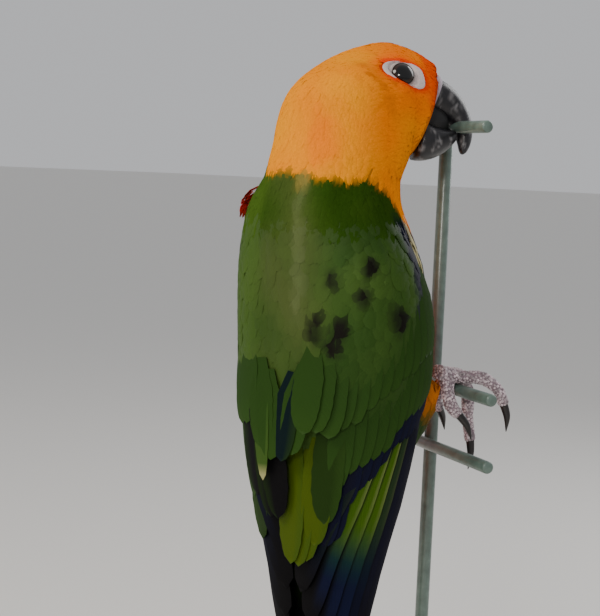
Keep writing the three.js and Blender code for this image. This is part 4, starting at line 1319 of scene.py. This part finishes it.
def eye_ball(side):
    outward = -HEAD_LEFT * side
    centre = in_head(EYE["forward"], -side * EYE["side"], EYE["up"])
    rings = [oval(centre - outward, HEAD_FORWARD * side, HEAD_UP, EYE_BACK, EYE_BACK, EYE_BACK, EYE_SIDES)]
    for angle in np.linspace(0.04, math.pi / 2, EYE_RINGS)[::-1]:
        reach = EYE_RADIUS * math.sin(angle)
        spot = centre + outward * EYE_RADIUS * math.cos(angle)
        rings.append(oval(spot, HEAD_FORWARD * side, HEAD_UP, reach, reach, reach, EYE_SIDES))
    points, faces = loft(rings)
    across = np.linalg.norm(np.cross(points - centre, outward), axis=1)
    front = (points - centre) @ outward > 0
    colour = blend(fill(SCLERA, points), IRIS, smooth(3.9, 3.5, across) * front)
    return points, faces, blend(colour, PUPIL, smooth(2.7, 2.4, across) * front)


print("eyeball's points:", len(eye_ball(1)[0]))

# %% [markdown]
# The band of bare skin runs from the lid to the ragged edge of the feathers. Paint on the head's skin
# would have no lid, so the band is a sheet of rings of its own. It lies on the ball inside and on the
# skin outside, with a small roll where the lid's rim is.

# %% Bare skin round the eyes
PATCH_STEPS, PATCH_RINGS, LID_EDGE = 72, 14, 3.6
PATCH_OVERLAP, PATCH_LIFT, PATCH_THICKNESS, EDGE_TUCK = 0.5, 0.45, 0.9, 0.8
LID_GAP, LID_ROLL, LID_ROLL_AT, LID_ROLL_WIDTH = 0.15, 0.25, 4.1, 0.4
FAR_OUT, NO_SKIN = 30, 14.0
BARE, LID, WATERLINE = linear("#bdb0ae"), linear("#8b807e"), linear("#1c1817")


def skin_height(side, forward, up):
    """How far the skin stands out from the head's middle plane, at some places round the eye."""
    heights = []
    for f, u in zip(forward, up):
        start = in_head(f, -side * FAR_OUT, u)
        hit = skin_search.ray_cast(Vector(start), Vector(HEAD_LEFT * side))[0]
        heights.append(NO_SKIN if hit is None else abs(float(to_head(np.array(hit)[None])[1][0])))
    return np.array(heights)


def patch_ring(side, k, angle):
    """One ring of the band: its distances from the eye's middle and its points."""
    edge = along(EYE_PATCH, angle) + PATCH_OVERLAP
    reach = LID_EDGE + (edge - LID_EDGE) * (k / (PATCH_RINGS - 1))
    forward = EYE["forward"] + reach * np.cos(np.radians(angle))
    up = EYE["up"] + reach * np.sin(np.radians(angle))
    ball = EYE["side"] + np.sqrt(EYE_RADIUS**2 - np.minimum(reach, 4.0) ** 2) + LID_GAP
    share = smooth(3.9, 5.2, reach)
    height = ball * (1 - share) + (skin_height(side, forward, up) + PATCH_LIFT) * share
    height = (height + np.roll(height, 1) + np.roll(height, -1)) / 3
    height += LID_ROLL * np.exp(-(((reach - LID_ROLL_AT) / LID_ROLL_WIDTH) ** 2))
    if k == PATCH_RINGS - 1:
        height -= EDGE_TUCK
    return reach, np.array([in_head(f, -side * h, u) for f, u, h in zip(forward, up, height)])


def eye_patch(side):
    """The bare skin from the lid to the feathers, closed underneath."""
    angle = np.arange(PATCH_STEPS) / PATCH_STEPS * 360 + PATCH_START
    reaches, rings = zip(*[patch_ring(side, k, angle) for k in range(PATCH_RINGS)])
    closed = [*rings, *(ring + HEAD_LEFT * side * PATCH_THICKNESS for ring in rings[::-1])]
    faces = []
    for k, j in itertools.product(range(len(closed)), range(PATCH_STEPS)):
        here, there = k * PATCH_STEPS, (k + 1) % len(closed) * PATCH_STEPS
        n = (j + 1) % PATCH_STEPS
        face = (here + j, there + j, there + n, here + n)
        faces.append(face if side > 0 else face[::-1])
    reach = np.concatenate(reaches)
    colour = blend(fill(BARE, reach), LID, smooth(4.5, 4.0, reach) * 0.8)
    colour = blend(colour, WATERLINE, smooth(3.9, 3.65, reach))
    return np.concatenate(closed), faces, np.concatenate([colour, colour])


# %% Make the eyes
for name, side in (("right", 1), ("left", -1)):
    points, faces, colour = eye_ball(side)
    ball = add_piece("eyeball_" + name, points, faces, eye_material, colour)
    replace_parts(ball, "eye_" + name)
    points, faces, colour = eye_patch(side)
    add_piece("eye_skin_" + name, points, faces, bare_material, colour)
    print("eye_skin_" + name, "faces:", len(faces))

# %% [markdown]
# ## Bill, cere and mouth
# A parrot's upper bill is a deep hook and the lower one a scoop. Sculpting could make them too, but
# the solids follow plain arcs, so lofts along the same arcs fit them exactly. Keratin's worn scuffs are
# a noise in the point colours.

# %% Shapes of bill and mouth
UPPER_BILL = {"rise": 6, "length": 25, "wide": 7.6, "high": 5.4, "start": -12, "end": -112}
LOWER_BILL = {"rise": -10.4, "length": 12.5, "wide": 6.6, "high": 6.6, "start": -12, "end": 34}
MOUTH = {"rise": -2.6, "length": 8.5, "wide": 5.6, "high": 5.2, "start": -24, "end": -40}
TONGUE = {"rise": -2.6, "length": 11, "wide": 2.3, "high": 2.0, "start": -30, "end": -24}
BILL_STEPS, BILL_SIDES = 30, 36
HORN, SCUFF = linear("#17161a"), linear("#8a888a")
BILL_ROOT = in_head(FACE_FORWARD, 0, 0)
ROOT_OUT, BOXINESS = 0.3, 0.92


def on_face_plane(rise):
    """A point of the plane that the bill grows from, at a height in the head's frame."""
    return BILL_ROOT + FACE_UP * (rise / math.cos(FACE_LEAN))


def bill_half(shape, taper, deepen=0.0, keel=0.0):
    """Rings of half a bill. Deepen swells its lower side, keel narrows its upper side."""
    centre = on_face_plane(shape["rise"]) + FACE_OUT * ROOT_OUT
    rings = []
    for k in range(BILL_STEPS + 1):
        s = k / BILL_STEPS
        angle = math.radians(shape["start"] + (shape["end"] - shape["start"]) * s**0.9)
        heading = HEAD_FORWARD * math.cos(angle) + HEAD_UP * math.sin(angle)
        up = FACE_UP if k == 0 else np.cross(heading, HEAD_LEFT)
        wide, high = taper(s)
        rise = shape["high"] * high
        deep = rise * (1 + deepen * smooth(0.62, 0.3, s))
        ring = oval(centre, HEAD_LEFT, up, shape["wide"] * wide, rise, deep, BILL_SIDES, BOXINESS)
        above = np.clip((ring - centre) @ up / rise, 0, 1)
        rings.append(ring - np.outer((ring - centre) @ HEAD_LEFT * above * keel, HEAD_LEFT))
        centre = centre + heading * shape["length"] / BILL_STEPS
    return loft(rings)


def horn_paint(points):
    """Black horn with worn pale scuffs in patches."""
    worn = smooth(0.1, 0.7, ripple(points, 1.7, 1.0)) * smooth(0.1, 0.7, ripple(points, 0.6, 5.0) + 0.3)
    return blend(fill(HORN, points), SCUFF, worn * 0.6)


def upper_taper(s):
    return 0.1 + 0.9 * (1 - s) ** 0.75, 0.12 + 0.88 * (1 - s) ** 0.6


def lower_taper(s):
    return 1 - 0.45 * s * s, 1 - 0.72 * s**1.2


def round_taper(s):
    return math.sqrt(max(0.06, 1 - s**3)), math.sqrt(max(0.06, 1 - s**3))


# %% Make the bill
for name, shape, taper, swell, material, replaced in (
    ("bill_upper", UPPER_BILL, upper_taper, (0.42, 0.18), horn_material, "beak_upper"),
    ("bill_lower", LOWER_BILL, lower_taper, (0.0, 0.0), horn_material, "beak_lower"),
    ("bill_tongue", TONGUE, round_taper, (0.0, 0.0), mouth_material, "tongue"),
):
    points, faces = bill_half(shape, taper, *swell)
    made = add_piece(name, points, faces, material, horn_paint(points))
    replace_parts(made, replaced)
    print(name, "faces:", len(faces))
points, faces = bill_half(MOUTH, round_taper)
add_piece("bill_mouth", points, faces, mouth_material)

# %% [markdown]
# The cere is the soft bare skin over the bill's root, with the two nostrils in it. It is one low loft
# whose points are pressed in and darkened round each nostril as painted shade, which needs no cutting.

# %% Cere
CERE_SIDES, CERE_SAG, CERE_DEEPER = 72, 0.22, 1.3
# Each ring of the cere: how far out of the face, and how much wider than the bill's root.
CERE_RINGS = ((-2.4, 0.2), (-1.2, 0.6), (-0.2, 0.85), (0.4, 0.75), (0.9, 0.5), (1.3, 0.1), (1.4, -0.6))
CERE_SKIN, NOSTRIL_SHADE, PIT_DEPTH = linear("#ab9ca8"), linear("#141012"), 0.7
NOSTRIL = {"side": 4.2, "up": 8.6, "forward": 20.6, "reach": 1.2}
cere_centre = on_face_plane(UPPER_BILL["rise"])
rings = []
for out, wider in CERE_RINGS:
    middle = cere_centre + FACE_OUT * out - HEAD_UP * CERE_SAG * max(out, 0)
    wide, high = UPPER_BILL["wide"] + wider, UPPER_BILL["high"] + wider
    rings.append(oval(middle, HEAD_LEFT, FACE_UP, wide, high, high * CERE_DEEPER, CERE_SIDES))
points, faces = loft(rings)
colour = fill(CERE_SKIN, points)
for side in (1, -1):
    spot = in_head(NOSTRIL["forward"], side * NOSTRIL["side"], NOSTRIL["up"])
    near = points[np.argmin(np.linalg.norm(points - spot, axis=1))]
    gap = np.linalg.norm(points - near, axis=1)
    # Each nostril is painted near black, as painted shade in its hole.
    colour = blend(colour, NOSTRIL_SHADE, smooth(NOSTRIL["reach"], 0.5, gap))
    inward = FACE_OUT * 0.3 + unit(near - cere_centre)
    points = points - np.outer(PIT_DEPTH * smooth(NOSTRIL["reach"], 0.2, gap), inward)
add_piece("cere", points, faces, bare_material, colour)
print("cere's faces:", len(faces))

# %% [markdown]
# ## Feet
# A parrot's foot has two toes forward and two back, with fleshy joints. Toes could be sculpted, but
# they have to close round the wire where the solids do, so each is a tube along a path. A fine voxel
# remesh merges them into one soft foot.

# %% Places of the feet
GRIP_Z, WIRE_SPACING, WIRE_RADIUS, ROD_RADIUS = 206.4, 21.3, 2.0, 2.3
WIRE_TURN = math.radians(27.3)
RIGHT_GRIP = np.array([26.3, 32.5, GRIP_Z]) + BODY_AXIS
WIRE_ALONG = np.array([-math.cos(WIRE_TURN), math.sin(WIRE_TURN), 0])
WIRE_OUT = np.array([math.sin(WIRE_TURN), math.cos(WIRE_TURN), 0])
LEGS = {
    "right": (RIGHT_GRIP, np.array([24.5, 23, 213]) + BODY_AXIS),
    "left": (RIGHT_GRIP + WIRE_ALONG * 44, np.array([-13.5, 40, 214]) + BODY_AXIS),
}
# Each toe's path: along the wire, out through the wires, and up.
TOES = {
    "right": [
        [[0, -4.5, 5], [-1.5, 1.5, 4.6], [-3.5, 7, 4.2], [-5, 12, 0.5], [-5.5, 14, -4]],
        [[0, -4.5, 5], [2.5, 1.5, 4.4], [3.5, 5.2, -1], [2.5, 5.4, -10], [1.5, 6.2, -17]],
        [[0, -4.5, 5], [-3, -5.6, 0], [-5, -5, -4.5], [-6, -2.6, -7]],
        [[0, -4.5, 5], [3, -5.6, 0], [6.5, -5, -4.5], [8, -2.6, -7]],
    ],
    "left": [
        [[0, -4.5, 5], [-2.5, 1.5, 4.6], [-4.2, 5.2, 1.5], [-5, 5.6, -4]],
        [[0, -4.5, 5], [2.5, 1.5, 4.6], [4.2, 5.5, 2.5], [5, 6, -4]],
        [[0, -4.5, 5], [-3, -5.6, 0], [-3.5, -5, -4.5], [-3.5, -2.6, -7]],
        [[0, -4.5, 5], [3, -5.6, 0], [3.5, -5, -4.5], [3.5, -2.6, -7]],
    ],
}
TOE_RADII, CLAW_LENGTH = [2.6, 2.0, 2.1, 1.75, 1.75], 8
FOOT_VOXEL = 0.42
print("grips:", [grip.round(1).tolist() for grip, _ in LEGS.values()])

# %% A foot as one mesh
# Radii of the leg and of a claw from root to tip, and how many sides and rings a tube has.
LEG_RADII, CLAW_RADII = [2.6, 2.2, 2.9], [1.45, 1.1, 0.12]
TUBE_SIDES, LEG_STEPS, TOE_STEPS, CLAW_SIDES, CLAW_STEPS = 18, 14, 30, 16, 14
FOOT_ROUNDS = 5
# Foot skin is dry, lilac-white and pebbled, dark in the creases between its pale scales.
foot_material = grained_material("foot skin", "#84727a", 0.65, grain=1.111, strength=0.6, contrast=0.4)


def at_grip(grip, spot):
    """A point given along the wire, out through the wires and up."""
    return grip + WIRE_ALONG * spot[0] + WIRE_OUT * spot[1] + UP * spot[2]


def foot_mesh(grip, ankle, paths):
    """Leg and toes as one mesh."""
    palm = at_grip(grip, paths[0][0])
    leg = [ankle, ankle * 0.4 + palm * 0.6, palm]
    tubes = [tube(leg, LEG_RADII, TUBE_SIDES, LEG_STEPS)]
    for path in paths:
        toe = [at_grip(grip, spot) for spot in path]
        tubes.append(tube(toe, TOE_RADII[: len(path)], TUBE_SIDES, TOE_STEPS))
    mesh = merged(tubes, FOOT_VOXEL, FOOT_ROUNDS)
    mesh.materials.clear()
    mesh.materials.append(foot_material)
    mesh.polygons.foreach_set("use_smooth", np.full(len(mesh.polygons), True))
    return mesh


# %% [markdown]
# The foot's scales are horny granules like a pebbled pavement. Placing a thousand by hand is out of
# the question, and a bump has no outline of its own, so Geometry Nodes scatter flattened balls over
# the foot. Spacing, size and seed are the tree's inputs, and one tree serves both feet.

# %% Granules
GRAIN_SPACING, GRAIN_SIZE, GRAIN_SEED = 0.8, 0.5, 3
GRAIN_LIMIT, GRAIN_FLATNESS, GRAIN_RANGE = 6.0e6, 0.5, (0.75, 1.25)
# Scales are pale and worn, drier than the skin between them.
scale_material = grained_material("foot scales", "#bcadb2", 0.55, grain=1.923, strength=0.2, contrast=0.7)


def granule_tree(material):
    """The tree that scatters granules, and the identifiers of its inputs by name."""
    tree = bpy.data.node_groups.new("granules", "GeometryNodeTree")
    tree.interface.new_socket("Geometry", in_out="INPUT", socket_type="NodeSocketGeometry")
    wanted = {}
    for label, kind in (("Spacing", "Float"), ("Size", "Float"), ("Seed", "Int")):
        socket = tree.interface.new_socket(label, in_out="INPUT", socket_type="NodeSocket" + kind)
        wanted[label] = socket.identifier
    tree.interface.new_socket("Geometry", in_out="OUTPUT", socket_type="NodeSocketGeometry")
    given = tree.nodes.new("NodeGroupInput").outputs
    spread = node(
        tree,
        "GeometryNodeDistributePointsOnFaces",
        {"distribute_method": "POISSON"},
        {"Density Max": GRAIN_LIMIT},
        {"Mesh": given["Geometry"], "Distance Min": given["Spacing"], "Seed": given["Seed"]},
    )
    grain = node(tree, "GeometryNodeMeshIcoSphere", values={"Radius": 1.0, "Subdivisions": 1}).outputs["Mesh"]
    shape = {"Scale": (1.0, 1.0, GRAIN_FLATNESS)}
    flat = node(tree, "GeometryNodeTransform", values=shape, links={"Geometry": grain})
    varied = node(
        tree,
        "FunctionNodeRandomValue",
        {"data_type": "FLOAT"},
        {2: GRAIN_RANGE[0], 3: GRAIN_RANGE[1]},
        {"Seed": given["Seed"]},
    )
    sizes = {0: varied.outputs[1], 1: given["Size"]}
    scaled = node(tree, "ShaderNodeMath", {"operation": "MULTIPLY"}, links=sizes)
    placed = node(
        tree,
        "GeometryNodeInstanceOnPoints",
        links={
            "Points": spread.outputs["Points"],
            "Instance": flat.outputs[0],
            "Rotation": spread.outputs["Rotation"],
            "Scale": scaled.outputs[0],
        },
    )
    real = node(tree, "GeometryNodeRealizeInstances", links={0: placed.outputs[0]})
    dressed = node(tree, "GeometryNodeSetMaterial", values={"Material": material}, links={0: real.outputs[0]})
    tree.links.new(dressed.outputs[0], tree.nodes.new("NodeGroupOutput").inputs[0])
    return tree, wanted


def granules(source, tree, wanted, seed):
    """A plain mesh of granules over an object, which is left as it was."""
    modifier = source.modifiers.new("granules", "NODES")
    modifier.node_group = tree
    for label, value in (("Spacing", GRAIN_SPACING * MM), ("Size", GRAIN_SIZE * MM), ("Seed", seed)):
        modifier[wanted[label]] = value
    mesh = evaluated(source)
    source.modifiers.remove(modifier)
    return mesh


# %% Foot with its granules
grain_tree, grain_inputs = granule_tree(scale_material)
print("granules' inputs:", list(grain_inputs))


def add_foot(name, grip, ankle, seed):
    flesh = bpy.data.objects.new("foot_skin_" + name, foot_mesh(grip, ankle, TOES[name]))
    bpy.context.scene.collection.objects.link(flesh)
    pebble_mesh = granules(flesh, grain_tree, grain_inputs, seed)
    pebbles = bpy.data.objects.new("foot_scales_" + name, pebble_mesh)
    bpy.context.scene.collection.objects.link(pebbles)
    for made in (flesh, pebbles):
        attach(made, "root")
    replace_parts(flesh, "foot_" + name)
    print("foot", name, "faces:", len(flesh.data.polygons), "granule faces:", len(pebble_mesh.polygons))

# %% [markdown]
# Each claw is a horn cone that goes on from its toe and hooks down. A claw is a tapered tube of three
# points, as that is all the shape it has.

# %% Feet and claws
CLAW_OVERLAP = 0.6


def add_claws(name, grip):
    for i, path in enumerate(TOES[name]):
        end, before = at_grip(grip, path[-1]), at_grip(grip, path[-2])
        heading = unit(end - before)
        hook = unit(-UP - WIRE_OUT * (0.4 if i < 2 else 0))
        middle = end + heading * CLAW_LENGTH * 0.45 + hook * 0.8
        tip = middle + heading * CLAW_LENGTH * 0.3 + hook * 3
        spots = [end - heading * CLAW_OVERLAP, middle, tip]
        points, faces = tube(spots, CLAW_RADII, CLAW_SIDES, CLAW_STEPS)
        nail = add_piece(f"nail_{name}_{i + 1}", points, faces, claw_material)
        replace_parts(nail, f"claw_{name}_{i + 1}")
    print("claws of the", name, "foot:", len(TOES[name]))


for number, (name, (grip, ankle)) in enumerate(LEGS.items()):
    add_foot(name, grip, ankle, GRAIN_SEED + number)
    add_claws(name, grip)

# %% [markdown]
# ## Wires, rod and base
# The bird holds short cut ends of its wires, which a rod on a wooden base carries. They are bars with
# rounded ends: a lathe turn gives the same, but a loft takes any direction at once.

# %% Wires and rod
STAND = {"width": 150, "depth": 124, "height": 12, "corner": 12}
ROD_DISTANCE, ROD_TOP, ROD_GAP, ROD_LIFT = 26, 8, 0.3, 0.1
BAR_SIDES = 28
# How a bar's ends are turned in: distance from the end and share of the radius.
BAR_END = [(0.0, 0.72), (0.2, 0.9), (0.6, 1.0)]
# The wires' enamel is grey-green, thick and a little lumpy, with a soft gloss.
enamel_material = grained_material(
    "hammered enamel", "#5d7067", 0.35, grain=3.846, strength=0.7, contrast=0.25, coat=0.3
)


def bar(start, end, radius):
    """A round bar with softly rounded ends."""
    heading = unit(end - start)
    side = unit(np.cross(heading, UP if abs(heading[2]) < 0.9 else HEAD_LEFT))
    up = np.cross(heading, side)
    length = np.linalg.norm(end - start)
    rings = []
    for distance, share in BAR_END + [(length - inset, share) for inset, share in BAR_END[::-1]]:
        reach = radius * share
        rings.append(oval(start + heading * distance, side, up, reach, reach, reach, BAR_SIDES))
    return loft(rings)


# Each wire's height, and how far it runs to either side of the right foot's grip.
CUT_WIRES = {
    "perch_wire_feet": (GRIP_Z, -22, 62),
    "perch_wire_lower": (GRIP_Z - WIRE_SPACING, -22, 62),
    "perch_wire_bill": (GRIP_Z + 4 * WIRE_SPACING, -10, 42),
}
for name, (z, low, high) in CUT_WIRES.items():
    middle = RIGHT_GRIP * [1, 1, 0] + UP * z
    points, faces = bar(middle + WIRE_ALONG * low, middle + WIRE_ALONG * high, WIRE_RADIUS)
    wire = add_piece(name.replace("perch", "cut"), points, faces, enamel_material)
    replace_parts(wire, name)
rod_out = WIRE_OUT * (WIRE_RADIUS + ROD_RADIUS + ROD_GAP)
rod_foot = RIGHT_GRIP * [1, 1, 0] + WIRE_ALONG * ROD_DISTANCE + rod_out
rod_top = GRIP_Z + 4 * WIRE_SPACING + ROD_TOP
points, faces = bar(rod_foot + UP * (STAND["height"] + ROD_LIFT), rod_foot + UP * rod_top, ROD_RADIUS)
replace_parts(add_piece("upright_rod", points, faces, enamel_material), "stand_rod")
print("wires:", len(CUT_WIRES), "rod's top at", round(rod_top, 1), "mm")

# %% Base
# The base is dark stained wood under satin lacquer, its grain drawn out along the width.
wood_material = grained_material(
    "stained wood", "#4c3220", 0.4, grain=6.25, strength=0.15, contrast=0.35, stretch=(0.12, 1, 1), coat=0.2
)
# The base's edge from the bottom up: height and how far the outline is drawn in.
BASE_EDGE = ((0, 0.6), (0.5, 0), (10.4, 0), (11.2, 0.3), (11.75, 0.9), (12, 1.8))


def plan(inset, steps=10):
    """The base's rounded outline, drawn in by some inset."""
    half = np.array([STAND["width"] / 2, STAND["depth"] / 2])
    reach = STAND["corner"] - inset
    outline = []
    for quarter, corner_at in enumerate(((1, 1), (-1, 1), (-1, -1), (1, -1))):
        x, y = (half - STAND["corner"]) * corner_at
        for t in np.linspace(0, math.pi / 2, steps):
            angle = t + quarter * math.pi / 2
            outline.append([x + reach * math.cos(angle), y + reach * math.sin(angle), 0])
    return np.array(outline)


points, faces = loft([plan(inset) + UP * z for z, inset in BASE_EDGE])
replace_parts(add_piece("wooden_base", points, faces, wood_material), "stand_base")
print("base's faces:", len(faces))

# %% [markdown]
# ## Camera
# The camera has the photograph's height, distance, tilt and slight roll, so that the model can be held
# against it. Its lens comes from the photograph's fitted focal length in pixels.

# %% Camera
CAMERA = {"turn": 40.0, "distance": 476.0, "across": 11.7, "height": 275.0, "pitch": 5.2, "roll": 0.0445}
FOCAL_PIXELS, LONG_SIDE, SENSOR = 1500.0, 616.0, 36.0
a, p = math.radians(CAMERA["turn"]), math.radians(CAMERA["pitch"])
right = np.array([math.cos(a), math.sin(a), 0])
ahead = np.array([-math.sin(a), math.cos(a), 0])
looking = ahead * math.cos(p) - UP * math.sin(p)
upward = UP * math.cos(p) + ahead * math.sin(p)
roll = CAMERA["roll"]
cam_right = right * math.cos(roll) + upward * math.sin(roll)
cam_up = upward * math.cos(roll) - right * math.sin(roll)
place = BODY_AXIS - right * CAMERA["across"] - ahead * CAMERA["distance"] + UP * CAMERA["height"]
NEAREST, FARTHEST = 0.01, 120.0
camera_data = bpy.data.cameras.new("camera")
camera_data.sensor_width = SENSOR
camera_data.lens = FOCAL_PIXELS / LONG_SIDE * SENSOR
camera_data.clip_start, camera_data.clip_end = NEAREST, FARTHEST
camera = bpy.data.objects.new("camera", camera_data)
basis = Matrix((cam_right, cam_up, -looking)).transposed().to_4x4()
camera.matrix_world = Matrix.Translation(Vector(place * MM)) @ basis
bpy.context.scene.collection.objects.link(camera)
bpy.context.scene.camera = camera
print("lens:", round(camera_data.lens, 1), "mm")

# %% [markdown]
# ## Floor and lights
# A pale floor and large soft lights stand in for a studio. A sky image would light the bird too, but
# a key from behind the camera, a fill and a back light give dark feathers their shape.

# %% Floor
FLOOR_HALF, AMBIENT = 40, 0.68
floor_mesh = bpy.data.meshes.new("floor")
floor_corners = [(x * FLOOR_HALF, y * FLOOR_HALF, 0) for x, y in ((-1, -1), (1, -1), (1, 1), (-1, 1))]
floor_mesh.from_pydata(floor_corners, [], [(0, 1, 2, 3)])
floor = bpy.data.objects.new("floor", floor_mesh)
bpy.context.scene.collection.objects.link(floor)
# Matt studio paper, which throws a soft light up under the tail.
floor_material, _, floor_shader = new_material("pale studio floor", Roughness=0.7)
floor_shader.inputs["Base Color"].default_value = rgba("#dedcd8")
floor.data.materials.append(floor_material)
print("floor:", 2 * FLOOR_HALF, "m wide")

# %% Lights
world = bpy.data.worlds.new("studio")
world.use_nodes = True
sky = world.node_tree.nodes["Background"].inputs
sky["Color"].default_value = rgba("#e6e7ea")
sky["Strength"].default_value = AMBIENT
bpy.context.scene.world = world


def add_light(name, place, aim_height, size, power, colour):
    """A round soft light that looks at a height on the middle axis. Lengths are in metres."""
    data = bpy.data.lights.new(name, "AREA")
    data.shape, data.size, data.energy = "DISK", size, power
    data.color = linear(colour)
    made = bpy.data.objects.new(name, data)
    made.location = place
    made.rotation_mode = "QUATERNION"
    made.rotation_quaternion = (Vector((0, 0, aim_height)) - Vector(place)).to_track_quat("-Z", "Y")
    bpy.context.scene.collection.objects.link(made)


add_light("key", (-0.35, -0.75, 0.95), aim_height=0.24, size=0.5, power=7.8, colour="#fff6ea")
add_light("fill", (0.46, -0.95, 0.64), aim_height=0.24, size=0.22, power=4.0, colour="#fffaf2")
add_light("back", (0.1, 0.9, 0.7), aim_height=0.22, size=0.7, power=4.0, colour="#ffffff")
